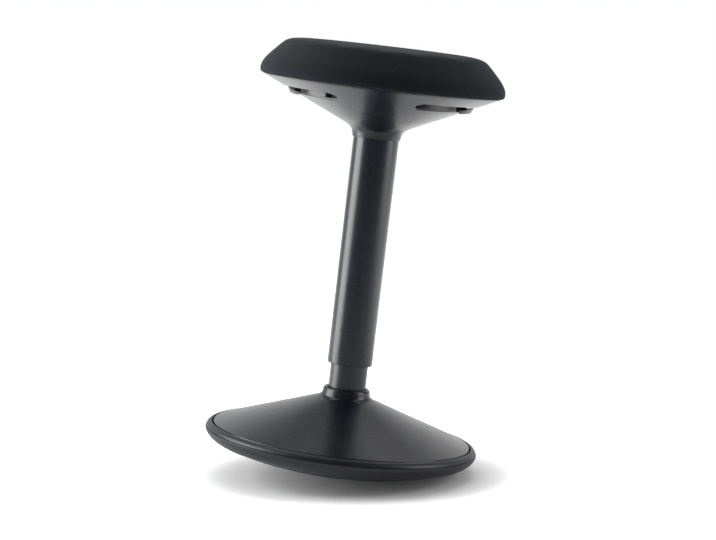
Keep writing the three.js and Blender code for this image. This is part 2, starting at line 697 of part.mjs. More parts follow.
// The ring sector that opens a finger slot, its ends rounded.
function slotTool() {
  const width = slotOuterRadius - slotInnerRadius;
  const middle = (slotOuterRadius + slotInnerRadius) / 2;
  const round = rad(SLOT_HALF_DEG) - width / 2 / middle;
  const shape = new THREE.Shape();
  shape.absarc(0, 0, slotOuterRadius, -round, round, false);
  shape.absarc(middle * Math.cos(round), middle * Math.sin(round), width / 2, round, round + Math.PI, false);
  shape.absarc(0, 0, slotInnerRadius, round, -round, true);
  const endX = middle * Math.cos(round);
  const endY = middle * Math.sin(round);
  shape.absarc(endX, -endY, width / 2, Math.PI - round, TURN - round, false);
  const depth = casingTop - casingFoot;
  const geometry = new THREE.ExtrudeGeometry(shape, { depth, bevelEnabled: false, curveSegments: 10 });
  geometry.translate(0, 0, casingFoot);
  return toSolid(geometry);
}

// Release ring, rockers, axles and plunger.

const ringFoot = casingLevel(ringRadius) + casingRise + OPEN_GAP;
const ringTop = ringFoot + RING_HEIGHT;
const webFoot = casingLevel(slotInnerRadius) + casingRise + FIT_GAP * 3;
const tabFoot = webFoot - TAB_DROP;

function makeReleaseRing() {
  const inner = ringBore;
  const wall = sleeve(inner, ringRadius, ringFoot, ringTop, FACETS_LARGE);
  const lipRadius = tabRadius - TAB_LIP;
  const hook = turned([
    [inner + RING_WALL / 2, webFoot], [lipRadius, webFoot], [lipRadius, tabFoot],
    [tabRadius - TAB_LIP / 3, tabFoot], [tabRadius, tabFoot + TAB_LIP / 3],
    [tabRadius, webFoot + TAB_WEB * 0.6], [tabRadius - TAB_WEB * 0.4, webFoot + TAB_WEB],
    [inner + RING_WALL / 2, webFoot + TAB_WEB],
  ], FACETS_LARGE);
  const solids = [wall];
  for (const side of [0, 180]) {
    const round = placed(disc(TAB_ROUND, casingFoot, boardFoot, FACETS_LARGE), tabCentre, side);
    solids.push(hook.intersect(round));
  }
  const channel = ROCKER_WIDTH + FIT_GAP * 4;
  for (const degrees of rockerDegs) {
    const lug = block(inner - LUG_DEPTH, inner + RING_WALL / 3, LUG_WIDTH, ringFoot, ringFoot + LUG_HEIGHT);
    const groove = block(inner - LUG_DEPTH * 2, inner - FIT_GAP, channel, ringFoot + LUG_FLOOR, boardFoot);
    solids.push(spun(lug.subtract(groove), degrees));
  }
  return union(solids);
}

// Side outline of a rocker, inner nose first, from its pivot.
function rockerOutline() {
  const capTop = pinTop + FIT_GAP + CAP_THICKNESS;
  const noseLevel = capTop + FIT_GAP;
  const tipLevel = ringFoot + LUG_FLOOR + FIT_GAP;
  const nose = ROCKER_PIVOT_RADIUS - ROCKER_INNER_ARM;
  const tip = rockerTip;
  const half = ROCKER_DEPTH / 2;
  return [
    [nose - ROCKER_NOSE, noseLevel + ROCKER_NOSE / 3], [nose, noseLevel],
    [nose + ROCKER_NOSE, noseLevel + ROCKER_NOSE / 6],
    [ROCKER_PIVOT_RADIUS - half * 2, lerp(noseLevel, pivotLevel - half, 0.45)],
    [ROCKER_PIVOT_RADIUS - half, pivotLevel - half], [ROCKER_PIVOT_RADIUS + half, pivotLevel - half],
    [tip - ROCKER_NOSE * 3, tipLevel + ROCKER_NOSE / 2], [tip, tipLevel],
    [tip + ROCKER_NOSE, tipLevel + ROCKER_NOSE / 3], [tip + ROCKER_NOSE, tipLevel + half],
    [ROCKER_PIVOT_RADIUS + half * 2, pivotLevel + half * 0.7], [ROCKER_PIVOT_RADIUS, pivotLevel + half],
    [nose + ROCKER_NOSE, noseLevel + half], [nose - ROCKER_NOSE, noseLevel + half],
  ];
}

function makeRocker(degrees) {
  const hole = crossPin(AXLE_RADIUS + FIT_GAP, ROCKER_WIDTH * 2, ROCKER_PIVOT_RADIUS, pivotLevel, FACETS_TINY);
  return spun(slab(rockerOutline(), ROCKER_WIDTH).subtract(hole), degrees);
}

function makeAxle(degrees) {
  const width = earWidth + AXLE_OVERHANG * 2;
  return spun(crossPin(AXLE_RADIUS, width, ROCKER_PIVOT_RADIUS, pivotLevel, FACETS_TINY), degrees);
}

function makePin() {
  const foot = valveTop - VALVE_LENGTH;
  return turned([
    [0, foot], [PIN_RADIUS, foot], [PIN_RADIUS, pinTop - PIN_RADIUS / 4],
    [PIN_RADIUS - PIN_RADIUS / 4, pinTop], [0, pinTop],
  ], FACETS_SMALL);
}

function makePlungerCap() {
  const seat = pinTop + FIT_GAP;
  const bore = PIN_RADIUS + FIT_GAP;
  return turned([
    [0, seat], [bore, seat], [bore, seat - CAP_SKIRT], [bore + CAP_WALL, seat - CAP_SKIRT],
    [bore + CAP_WALL, seat], [CAP_RADIUS, seat], [CAP_RADIUS, seat + CAP_THICKNESS],
    [0, seat + CAP_THICKNESS],
  ], FACETS_SMALL);
}

// Seat.

// Share of the way in from the widest edge to the top edge, and up from the hem.
const seatSideShares = [
  [0.045, 0.022], [0.004, 0.09], [0.012, 0.19], [0.104, 0.327],
  [0.35, 0.54], [0.64, 0.754], [0.86, 0.893], [1, 0.955], [1.16, 0.978],
];
const seatTopShares = [0.5];

function seatSurface(inset) {
  const rise = SEAT_THICKNESS;
  const side = seatSideShares.map(([across, up]) => [
    lerp(SEAT_RADIUS, seatTopRadius, across) - inset,
    hemLevel + rise * up - inset * up + (up < 0.1 ? inset : 0),
  ]);
  const edge = side[side.length - 1];
  const crown = seatTopShares.map((share) => [
    share * seatTopRadius,
    SEAT_HEIGHT - inset - SEAT_CROWN * share * share,
  ]);
  return [...side.slice(0, -1), edge, ...crown, [0, SEAT_HEIGHT - inset]];
}

function makeFabric() {
  const outside = seatSurface(0);
  const inside = seatSurface(FABRIC_THICKNESS).reverse();
  const heel = lerp(SEAT_RADIUS, seatTopRadius, 0.1);
  return turned([
    ...outside.slice().reverse(), [heel, hemLevel], [hemRadius, hemLevel],
    [hemRadius, hemLevel + FABRIC_THICKNESS], [heel - FABRIC_THICKNESS, hemLevel + FABRIC_THICKNESS],
    ...inside.slice().reverse(),
  ], FACETS_SOFT);
}

function makeFoam() {
  const inset = FABRIC_THICKNESS + FIT_GAP;
  const outside = seatSurface(inset);
  const heel = lerp(SEAT_RADIUS, seatTopRadius, 0.1) - inset;
  const foot = boardFoot + FIT_GAP;
  return turned([
    [0, boardTop + FIT_GAP], [boardRadius + FIT_GAP * 2, boardTop + FIT_GAP],
    [boardRadius + FIT_GAP * 2, foot], [heel, foot], ...outside.filter(([, level]) => level > foot),
  ], FACETS_SOFT);
}

function makeBoard() {
  const lip = BOARD_THICKNESS / 8;
  const body = turned([
    [0, boardFoot], [boardRadius - lip, boardFoot], [boardRadius, boardFoot + lip],
    [boardRadius, boardTop - lip], [boardRadius - lip, boardTop], [0, boardTop],
  ], FACETS_SOFT);
  const cuts = [];
  for (const degrees of hubArmDegs) {
    const hole = disc(BOLT_RADIUS + FIT_GAP, 0, boardFoot + BOLT_GRIP + FIT_GAP, FACETS_TINY);
    cuts.push(placed(hole, hubArmCircle, degrees));
  }
  for (const degrees of CASING_SCREW_DEGS) {
    const hole = disc(SCREW_RADIUS + FIT_GAP, 0, boardFoot + SCREW_GRIP + FIT_GAP, FACETS_TINY);
    cuts.push(placed(hole, casingScrewCircle, degrees));
  }
  for (const degrees of TONGUE_DEGS) {
    const half = TONGUE_THICKNESS / 2 + FIT_GAP;
    const width = TONGUE_WIDTH + FIT_GAP * 2;
    const top = boardFoot + TONGUE_RISE + FIT_GAP;
    cuts.push(spun(block(tongueCircle - half, tongueCircle + half, width, 0, top), degrees));
  }
  return without(body, cuts);
}

// Colours and finishes.
const FINISHES = {
  rubber: { color: 0x2f3033, roughness: 0.75, metalness: 0 },
  iron: { color: 0x3a3b3d, roughness: 0.7, metalness: 0.9 },
  shell: { color: 0x2b2d30, roughness: 0.42, metalness: 0 },
  powder: { color: 0x26282b, roughness: 0.38, metalness: 0.2 },
  gloss: { color: 0x1f2124, roughness: 0.22, metalness: 0 },
  steel: { color: 0xb4b7ba, roughness: 0.28, metalness: 1 },
  zinc: { color: 0xa9adb0, roughness: 0.4, metalness: 1 },
  acetal: { color: 0xe4e3dd, roughness: 0.45, metalness: 0 },
  casting: { color: 0x9a9da0, roughness: 0.5, metalness: 1 },
  wood: { color: 0xb98f62, roughness: 0.65, metalness: 0 },
  foam: { color: 0xd8d2b8, roughness: 0.95, metalness: 0 },
  fabric: { color: 0x232429, roughness: 0.95, metalness: 0 },
};

const stool = new THREE.Group();
stool.name = 'perch_stool';
stool.userData.stroke = stroke;

function addPiece(name, solid, finish) {
  const material = new THREE.MeshStandardMaterial({ ...FINISHES[finish] });
  const mesh = new THREE.Mesh(toGeometry(solid), material);
  mesh.name = name;
  stool.add(mesh);
}

addPiece('sole', makeSole(), 'rubber');
addPiece('ballast', makeBallast(), 'iron');
addPiece('base_cover', makeBaseCover(), 'shell');
addPiece('collar', makeCollar(), 'rubber');
coverScrewDegs.forEach((degrees, i) => {
  const foot = coverHeadTop - SCREW_HEAD;
  const top = coverSeatLevel + SCREW_GRIP;
  const screw = makeFastener(SCREW_RADIUS, SCREW_HEAD_RADIUS, SCREW_HEAD, foot, top);
  addPiece(`cover_screw_${i + 1}`, placed(screw, coverScrewCircle, degrees), 'zinc');
});
addPiece('column_tube', makeColumn(), 'powder');
addPiece('guide_bush', makeBush(), 'acetal');
addPiece('lower_race', makeRace(bearingFoot), 'steel');
addPiece('ball_cage', makeBallCage(), 'steel');
addPiece('upper_race', makeRace(upperRaceFoot), 'steel');
addPiece('piston_rod', makeRod(), 'steel');
addPiece('piston', makePiston(), 'casting');
addPiece('rod_clip', makeClip(), 'zinc');
addPiece('buffer_ring', makeBuffer(), 'rubber');
addPiece('gas_cylinder', makeCylinder(), 'powder');
addPiece('rod_guide', makeRodGuide(), 'acetal');
addPiece('valve_body', makeValve(), 'casting');
addPiece('cover_sleeve', makeSleeve(), 'powder');
addPiece('seat_hub', makeHub(), 'casting');
addPiece('casing', makeCasing(), 'shell');
addPiece('release_ring', makeReleaseRing(), 'gloss');
rockerDegs.forEach((degrees, i) => {
  addPiece(`rocker_${i + 1}`, makeRocker(degrees), 'zinc');
  addPiece(`rocker_axle_${i + 1}`, makeAxle(degrees), 'steel');
});
addPiece('release_pin', makePin(), 'steel');
addPiece('plunger_cap', makePlungerCap(), 'acetal');
hubArmDegs.forEach((degrees, i) => {
  const top = boardFoot + BOLT_GRIP;
  const bolt = makeFastener(BOLT_RADIUS, BOLT_HEAD_RADIUS, BOLT_HEAD, plateFoot - FIT_GAP - BOLT_HEAD, top);
  addPiece(`hub_bolt_${i + 1}`, placed(bolt, hubArmCircle, degrees), 'zinc');
});
CASING_SCREW_DEGS.forEach((degrees, i) => {
  const foot = casingLevel(casingScrewCircle) + OPEN_GAP;
  const screw = makeFastener(SCREW_RADIUS, SCREW_HEAD_RADIUS, SCREW_HEAD, foot, boardFoot + SCREW_GRIP);
  addPiece(`casing_screw_${i + 1}`, placed(screw, casingScrewCircle, degrees), 'zinc');
});
addPiece('seat_board', makeBoard(), 'wood');
addPiece('seat_foam', makeFoam(), 'foam');
addPiece('seat_fabric', makeFabric(), 'fabric');

export default stool;
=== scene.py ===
"""Studio scene of a round perch stool on a rocking dome base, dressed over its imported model."""

import logging
import math
from collections.abc import Callable
from dataclasses import dataclass
from enum import Enum
from functools import partial
from typing import Any

import bmesh
import bpy
from mathutils import Matrix, Vector
from mathutils.geometry import delaunay_2d_cdt


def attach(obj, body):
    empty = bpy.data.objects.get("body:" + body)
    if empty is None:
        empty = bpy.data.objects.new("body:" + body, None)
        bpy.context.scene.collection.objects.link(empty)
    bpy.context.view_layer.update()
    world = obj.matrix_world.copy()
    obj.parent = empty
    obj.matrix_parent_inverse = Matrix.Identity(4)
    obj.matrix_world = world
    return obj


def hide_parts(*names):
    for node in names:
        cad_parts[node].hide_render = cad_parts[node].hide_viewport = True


LOG = logging.getLogger("perch_stool")
MM = 0.001
SEGMENTS = 192
# A rounding takes at most this share of the way to the next corner.
FILLET_SHARE = 0.48
# Blender's wave bands of scale 1 lie this far apart.
WAVE_GAP_M = 0.32
Point = tuple[float, float]
Place = tuple[float, float, float]
# Radius, level and, where it is rounded, the size of the rounding.
Corner = tuple[float, ...]
Piece = bpy.types.Object
Material = bpy.types.Material
Node = bpy.types.Node
Socket = bpy.types.NodeSocket
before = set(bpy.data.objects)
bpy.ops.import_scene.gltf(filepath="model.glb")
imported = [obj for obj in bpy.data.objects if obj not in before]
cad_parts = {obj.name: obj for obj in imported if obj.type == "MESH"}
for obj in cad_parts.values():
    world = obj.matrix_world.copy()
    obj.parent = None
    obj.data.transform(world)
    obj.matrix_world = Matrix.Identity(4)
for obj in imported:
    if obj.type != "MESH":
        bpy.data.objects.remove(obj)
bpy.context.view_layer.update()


def linear(hex_colour: str, factor: float = 1.0) -> tuple[float, float, float, float]:
    """Turns an sRGB hex colour into a linear colour.

    Args:
        hex_colour: Six hex digits.
        factor: What the linear light is multiplied by.

    Returns:
        Linear red, green and blue, and an alpha of 1.
    """
    channels = [int(hex_colour[i : i + 2], 16) / 255 for i in (0, 2, 4)]
    flat = [c / 12.92 if c <= 0.04045 else ((c + 0.055) / 1.055) ** 2.4 for c in channels]
    return (*(min(1.0, c * factor) for c in flat), 1.0)


def scale_of(spacing_mm: float, gap_m: float = 1.0) -> float:
    """Gives the scale at which a pattern, whose own step is the gap, has a real spacing."""
    return gap_m / (spacing_mm * MM)


def span(side: str, reach: Point) -> dict[str, float]:
    """Gives the two inputs that set one side, From or To, of a mapped range."""
    return {f"{side} Min": reach[0], f"{side} Max": reach[1]}


def add_node(
    tree: bpy.types.NodeTree,
    kind: str,
    inputs: dict[str | int, Any] | None = None,
    **settings: Any,
) -> Node:
    """Adds one node with its settings and links.

    Args:
        tree: The tree that takes the node.
        kind: Blender's type name of the node.
        inputs: What each input takes: a plain value, a socket, or a node for its first output.
        **settings: The node's own settings.

    Returns:
        The new node.
    """
    node = tree.nodes.new(kind)
    for key, value in settings.items():
        setattr(node, key, value)
    for key, value in (inputs or {}).items():
        source = value.outputs[0] if isinstance(value, Node) else value
        if isinstance(source, Socket):
            tree.links.new(source, node.inputs[key])
        else:
            node.inputs[key].default_value = source
    return node


def new_material(name: str) -> tuple[Material, Callable[..., Node]]:
    """Makes an empty node material.

    Args:
        name: The material's name.

    Returns:
        The material, and add_node for its own tree.
    """
    material = bpy.data.materials.new(name)
    material.use_nodes = True
    material.node_tree.nodes.clear()
    return material, partial(add_node, material.node_tree)


@dataclass(frozen=True)
class Plastic:
    """Moulded plastic, rubber or a baked coat: an even colour under a finely grained skin.

    The grain is drawn coarser than a real tool leaves it, which no view would show.
    """

    name: str
    colour: str
    roughness: float
    grain_mm: float = 0.9
    relief_mm: float = 0.02
    ior: float = 1.5
    relief: float = 0.35
    # Slow clouds make it a little lighter, and glossier or duller.
    cloud_mm: float = 60.0
    cloud_light: float = 1.22
    cloud_reach: Point = (0.3, 0.7)
    gloss_spread: Point = (-0.03, 0.04)

    def make(self) -> Material:
        """Builds the material.

        Returns:
            The finished material.
        """
        material, add = new_material(self.name)
        place = add("ShaderNodeTexCoord").outputs["Object"]
        cells = {"Scale": scale_of(self.grain_mm), "Detail": 3.0, "Vector": place}
        skin = add("ShaderNodeTexNoise", cells).outputs["Fac"]
        clouds = {"Scale": scale_of(self.cloud_mm), "Detail": 2.0, "Vector": place}
        cloud = add("ShaderNodeTexNoise", clouds).outputs["Fac"]
        tints = {6: linear(self.colour), 7: linear(self.colour, self.cloud_light)}
        tint = add("ShaderNodeMix", {0: cloud, **tints}, data_type="RGBA")
        gloss = [self.roughness + spread for spread in self.gloss_spread]
        ranges = {**span("From", self.cloud_reach), **span("To", gloss)}
        relief = {"Strength": self.relief, "Distance": self.relief_mm * MM}
        shader = add(
            "ShaderNodeBsdfPrincipled",
            {
                "Base Color": tint.outputs[2],
                "Roughness": add("ShaderNodeMapRange", {"Value": cloud, **ranges}),
                "Normal": add("ShaderNodeBump", {"Height": skin, **relief}),
                "IOR": self.ior,
            },
        )
        add("ShaderNodeOutputMaterial", {"Surface": shader})
        return material


class Marks(Enum):
    """What the making leaves on bare metal."""

    GROUND = "rings left by a grinding wheel"
    CAST = "coarse skin of a casting or a plating"


@dataclass(frozen=True)
class Metal:
    """Bare metal: its colour is its reflection, broken up by how it was made.

    Grinding marks and the cast skin are drawn coarser than real ones for the same reason.
    """

    name: str
    colour: str
    roughness: float
    marks: Marks = Marks.GROUND
    grain_mm: float = 0.6
    # How far ground rings waver, and how much wider than the grain a cast skin's cells are.
    waver: float = 1.5
    cast_spread: float = 3.0
    relief: float = 0.2
    relief_mm: float = 0.03
    shade: float = 0.82
    gloss_spread: Point = (-0.05, 0.08)

    def make(self) -> Material:
        """Builds the material.

        Returns:
            The finished material.
        """
        material, add = new_material(self.name)
        place = add("ShaderNodeTexCoord").outputs["Object"]
        if self.marks is Marks.GROUND:
            scale = scale_of(self.grain_mm, WAVE_GAP_M)
            rings = {"Scale": scale, "Distortion": self.waver, "Vector": place}
            pattern = add("ShaderNodeTexWave", rings, bands_direction="Z")
        else:
            scale = scale_of(self.grain_mm * self.cast_spread)
            pattern = add("ShaderNodeTexNoise", {"Scale": scale, "Detail": 3.0, "Vector": place})
        height = pattern.outputs["Fac"]
        tints = {6: linear(self.colour, self.shade), 7: linear(self.colour)}
        tint = add("ShaderNodeMix", {0: height, **tints}, data_type="RGBA")
        gloss = span("To", [self.roughness + spread for spread in self.gloss_spread])
        relief = {"Strength": self.relief, "Distance": self.relief_mm * MM}
        shader = add(
            "ShaderNodeBsdfPrincipled",
            {
                "Metallic": 1.0,
                "Base Color": tint.outputs[2],
                "Roughness": add("ShaderNodeMapRange", {"Value": height, **gloss}),
                "Normal": add("ShaderNodeBump", {"Height": height, **relief}),
            },
        )
        add("ShaderNodeOutputMaterial", {"Surface": shader})
        return material


@dataclass(frozen=True)
class Cloth:
    """Close-knit cloth: matt, with a soft pale sheen at the edges of the form."""

    name: str
    colour: str
    sheen_colour: str
    thread_mm: float = 0.9
    fuzz_mm: float = 1.1
    # How much the stitches add to the fuzz, and the heights of the darkest and palest thread.
    stitch_share: float = 0.45
    thread_reach: Point = (-0.6, 1.3)
    thread_light: Point = (0.8, 1.16)
    relief: float = 0.5
    relief_mm: float = 0.25
    cloud_mm: float = 38.0
    cloud_share: float = 0.3
    roughness: float = 0.92
    specular: float = 0.3
    sheen: float = 0.2
    sheen_roughness: float = 0.3

    def make(self) -> Material:
        """Builds the material from stitches, loose fibres and slow clouds.

        Returns:
            The finished material.
        """
        material, add = new_material(self.name)
        place = add("ShaderNodeTexCoord").outputs["Object"]
        parts = add("ShaderNodeSeparateXYZ", {"Vector": place}).outputs
        step = math.tau / (self.thread_mm * MM)
        waves = []
        for axis in "XYZ":
            along = add("ShaderNodeMath", {0: parts[axis], 1: step}, operation="MULTIPLY")
            waves.append(add("ShaderNodeMath", {0: along}, operation="SINE"))
        x, y, z = waves
        top = add("ShaderNodeMath", {0: x, 1: y}, operation="MULTIPLY")
        side = add("ShaderNodeMath", {0: y, 1: z}, operation="MULTIPLY")
        sides = add("ShaderNodeMath", {0: x, 1: z, 2: side}, operation="MULTIPLY_ADD")
        stitches = add("ShaderNodeMath", {0: top, 1: sides}, operation="ADD")
        fibres = {"Scale": scale_of(self.fuzz_mm), "Detail": 4.0, "Vector": place}
        fuzz = add("ShaderNodeTexNoise", fibres).outputs["Fac"]
        knit = {0: stitches, 1: self.stitch_share, 2: fuzz}
        height = add("ShaderNodeMath", knit, operation="MULTIPLY_ADD")
        thread = add("ShaderNodeMapRange", {"Value": height, **span("From", self.thread_reach)})
        dark, pale = (linear(self.colour, light) for light in self.thread_light)
        tint = add("ShaderNodeMix", {0: thread, 6: dark, 7: pale}, data_type="RGBA").outputs[2]
        clouds = {"Scale": scale_of(self.cloud_mm), "Detail": 2.0, "Vector": place}
        cloud = add("ShaderNodeTexNoise", clouds).outputs["Color"]
        mottle = {0: self.cloud_share, 6: tint, 7: cloud}
        colour = add("ShaderNodeMix", mottle, data_type="RGBA", blend_type="MULTIPLY")
        relief = {"Strength": self.relief, "Distance": self.relief_mm * MM}
        shader = add(
            "ShaderNodeBsdfPrincipled",
            {
                "Base Color": colour.outputs[2],
                "Normal": add("ShaderNodeBump", {"Height": height, **relief}),
                "Roughness": self.roughness,
                "Specular IOR Level": self.specular,
                "Sheen Weight": self.sheen,
                "Sheen Roughness": self.sheen_roughness,
                "Sheen Tint": linear(self.sheen_colour),
            },
        )
        add("ShaderNodeOutputMaterial", {"Surface": shader})
        return material


@dataclass(frozen=True)
class Plywood:
    """Rotary-cut ply: pale faces and thin darker glue lines through the edge."""

    name: str
    colour: str
    ply_mm: float = 1.4
    figure_mm: float = 14.0
    figure_stretch: float = 9.0
    shade: float = 0.7
    roughness: float = 0.6

    def make(self) -> Material:
        """Builds the material.

        Returns:
            The finished material.
        """
        material, add = new_material(self.name)
        place = add("ShaderNodeTexCoord").outputs["Object"]
        stretch = {"Scale": (1.0, self.figure_stretch, 1.0), "Vector": place}
        stretched = add("ShaderNodeMapping", stretch)
        veins = {"Scale": scale_of(self.figure_mm), "Detail": 5.0, "Vector": stretched}
        figure = add("ShaderNodeTexNoise", veins).outputs["Fac"]
        layers = {"Scale": scale_of(self.ply_mm, WAVE_GAP_M), "Vector": place}
        plies = add("ShaderNodeTexWave", layers, bands_direction="Z").outputs["Fac"]
        both = add("ShaderNodeMath", {0: figure, 1: plies}, operation="MULTIPLY")
        tints = {6: linear(self.colour, self.shade), 7: linear(self.colour)}
        tint = add("ShaderNodeMix", {0: both, **tints}, data_type="RGBA").outputs[2]
        shader = add("ShaderNodeBsdfPrincipled", {"Roughness": self.roughness, "Base Color": tint})
        add("ShaderNodeOutputMaterial", {"Surface": shader})
        return material


Finish = Plastic | Metal | Cloth | Plywood

# Each finish is named for the real material and how its surface was made. The comment says what
# it gives the eye.
# Near black shell with a broad soft highlight that runs down each cone.
SHELL = Plastic("abs_injection_moulded_satin", "14181f", 0.27, relief_mm=0.012, ior=1.54)
# The ring slides in the casing, so it is acetal: smooth, slightly waxy, a clear highlight.
RING_PLASTIC = Plastic("acetal_injection_moulded_black", "121417", 0.26, 2.5, 0.004, 1.48)
# Greyer and duller than the shell, so that the rim reads as a softer material.
RUBBER = Plastic("nitrile_rubber_moulded", "1c1e24", 0.42, 1.4, ior=1.52)
# The collar's bead is rubbery too, but shows two clear highlights.
COLLAR_RUBBER = Plastic("polyurethane_moulded_satin", "202125", 0.28, 1.2, 0.01)
# A slightly rippled satin coat, with one long highlight down the tubes.
POWDER = Plastic("steel_tube_powder_coated_satin", "1f232a", 0.27, 1.6, 0.008, 1.55)
# Milky white guides.
ACETAL = Plastic("acetal_moulded_natural", "dcdbd4", 0.4)
# Dark grey, matt and lumpy.
IRON = Plastic("grey_iron_cast_painted", "2a2b2d", 0.6, 2.2, 0.12)
# Bright running faces with fine rings.
GROUND_STEEL = Metal("carbon_steel_ground", "b9bcc0", 0.24)
# Pale, slightly cloudy screws and stampings.
ZINC = Metal("steel_zinc_plated", "aab0b4", 0.36, Marks.CAST)
# Dull silver with a coarse skin.
ALLOY = Metal("aluminium_die_cast", "9fa2a6", 0.48, Marks.CAST, 1.0)
# Blue-black and matt, paler only where the form turns away.
CLOTH = Cloth("polyester_seat_cloth_knitted", "1d2128", "9a9ba6")
# Pale wood with lines along its edge.
PLY = Plywood("birch_plywood_sanded", "c79f6e")

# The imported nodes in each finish. Numbered nodes are named without their number.
FINISHED_NODES: dict[Finish, str] = {
    RUBBER: "sole collar buffer_ring",
    IRON: "ballast",
    SHELL: "base_cover casing",
    POWDER: "column_tube gas_cylinder cover_sleeve",
    ACETAL: "guide_bush rod_guide plunger_cap",
    GROUND_STEEL: "lower_race ball_cage upper_race piston_rod release_pin rocker_axle",
    ALLOY: "piston valve_body seat_hub",
    ZINC: "rod_clip cover_screw hub_bolt casing_screw rocker",
    RING_PLASTIC: "release_ring",
    PLY: "seat_board",
    CLOTH: "seat_foam seat_fabric",
}
NODE_FINISHES = {name: finish for finish, names in FINISHED_NODES.items() for name in names.split()}


def polar(radius: float, turn: float) -> Point:
    """Gives the plan point at a radius and an angle in radians."""
    return radius * math.cos(turn), radius * math.sin(turn)


def turned(x: float, y: float, degrees: float) -> Point:
    """Turns a plan point about the stool's axis."""
    face = math.radians(degrees)
    return x * math.cos(face) - y * math.sin(face), x * math.sin(face) + y * math.cos(face)


def round_row(radius: float, level: float, segments: int = SEGMENTS, start: float = 0.0) -> list:
    """Gives the points of a level circle about the stool's axis, from a start in degrees."""
    turns = [math.radians(start) + math.tau * i / segments for i in range(segments)]
    return [(*polar(radius, turn), level) for turn in turns]


def filleted(corners: list[Corner], closed: bool = True, steps: int = 5) -> list[Point]:
    """Rounds the corners of a side outline.

    Args:
        corners: The corners, in millimetres.
        closed: Whether the last corner joins the first.
        steps: How many chords make one rounding.

    Returns:
        The outline as radius and level pairs.
    """
    outline: list[Point] = []
    count = len(corners)
    for i, (radius, level, *size) in enumerate(corners):
        if not (size and (closed or 0 < i < count - 1)):
            outline.append((radius, level))
            continue
        here = Vector((radius, level))
        back = Vector(corners[i - 1][:2]) - here
        ahead = Vector(corners[(i + 1) % count][:2]) - here
        half = back.angle(ahead) / 2
        room = FILLET_SHARE * min(back.length, ahead.length)
        reach = min(size[0] / math.tan(half), room)
        bisector = (back.normalized() + ahead.normalized()).normalized()
        middle = here + bisector * (reach * math.tan(half)) / math.sin(half)
        first = here + back.normalized() * reach - middle
        last = here + ahead.normalized() * reach - middle
        sweep = first.angle(last)
        for k in range(steps + 1):
            start, end = (math.sin(share * sweep) for share in (1 - k / steps, k / steps))
            outline.append(tuple(middle + (first * start + last * end) / math.sin(sweep)))
    return outline


def flowing(points: tuple[Point, ...] | list[Point], chords: int = 4) -> list[Point]:
    """Draws a smooth curve through the given points.

    Args:
        points: The points that the curve passes, in millimetres.
        chords: How many chords lie between two of them.

    Returns:
        The curve's points, ends included.
    """
    curve: list[Point] = []
    last = len(points) - 1
    for i in range(last):
        a, b, c, d = (Vector(points[max(0, min(last, i + k))]) for k in (-1, 0, 1, 2))
        square, cube = 2 * a - 5 * b + 4 * c - d, 3 * b - a - 3 * c + d
        for k in range(chords):
            t = k / chords
            curve.append(tuple(0.5 * (2 * b + (c - a) * t + square * t**2 + cube * t**3)))
    return [*curve, tuple(points[last])]


class Shape:
    """The points and faces of one mesh, gathered in millimetres."""

    def __init__(self) -> None:
        """Starts empty."""
        self.points: list[Place] = []
        self.faces: list[tuple[int, ...]] = []

    def add(self, points: list[Place]) -> list[int]:
        """Adds points.

        Args:
            points: Their places.

        Returns:
            Their numbers in the mesh.
        """
        start = len(self.points)
        self.points.extend(points)
        return list(range(start, len(self.points)))

    def bridge(self, first: list[int], second: list[int], round_trip: bool = True) -> None:
        """Joins two rows of points with faces.

        Args:
            first: One row, or a single pole.
            second: The other row, with as many points, or a single pole.
            round_trip: Whether the rows close on themselves.
        """
        count = max(len(first), len(second))
        for i in range(count if round_trip else count - 1):
            k = (i + 1) % count
            if len(first) == 1:
                self.faces.append((first[0], second[k], second[i]))
            elif len(second) == 1:
                self.faces.append((first[i], first[k], second[0]))
            else:
                self.faces.append((first[i], first[k], second[k], second[i]))

    def loft(self, rows: list[list[int]], closed: bool = False, capped: bool = False) -> None:
        """Joins rows of points, each to the next.

        Args:
            rows: The rows.
            closed: Whether the last row joins the first.
            capped: Whether the first and the last row are filled with a face.
        """
        for first, second in zip(rows, rows[1:] + rows[:1] if closed else rows[1:]):
            self.bridge(first, second)
        if capped:
            self.faces += [tuple(rows[0]), tuple(rows[-1])]

    def extend(self, row: list[int], rows: list[list[Place]]) -> list[int]:
        """Adds rows of new points, the first one joined to a row that is there.

        Args:
            row: The row to start from.
            rows: The new rows' points.

        Returns:
            The last row.
        """
        for places in rows:
            following = self.add(places)
            self.bridge(row, following)
            row = following
        return row

    def turn(self, outline: list[Point], closed: bool = True) -> None:
        """Turns a side outline about the stool's axis.

        Args:
            outline: Radius and level pairs; a radius of zero makes a pole.
            closed: Whether the last row joins the first.
        """
        rows = [
            self.add(round_row(radius, level) if radius else [(0.0, 0.0, level)])
            for radius, level in outline
        ]
        self.loft(rows, closed)

    def build(self, name: str) -> Piece:
        """Makes the mesh object, smooth and with its faces turned outwards.

        Args:
            name: The piece's name.

        Returns:
            The object, linked to the scene.
        """
        mesh = bpy.data.meshes.new(name)
        mesh.from_pydata([tuple(MM * c for c in point) for point in self.points], [], self.faces)
        bench = bmesh.new()
        bench.from_mesh(mesh)
        bmesh.ops.recalc_face_normals(bench, faces=bench.faces)
        for face in bench.faces:
            face.smooth = True
        bench.to_mesh(mesh)
        bench.free()
        piece = bpy.data.objects.new(name, mesh)
        bpy.context.scene.collection.objects.link(piece)
        return piece


def even_shading(piece: Piece, sharp_deg: float = 40.0) -> None:
    """Shades large faces flat and their roundings smoothly.

    Args:
        piece: The mesh object.
        sharp_deg: The angle over which an edge stays sharp.
    """
    piece.data.set_sharp_from_angle(angle=math.radians(sharp_deg))
    shading = piece.modifiers.new("even_shading", "WEIGHTED_NORMAL")
    shading.keep_sharp = True


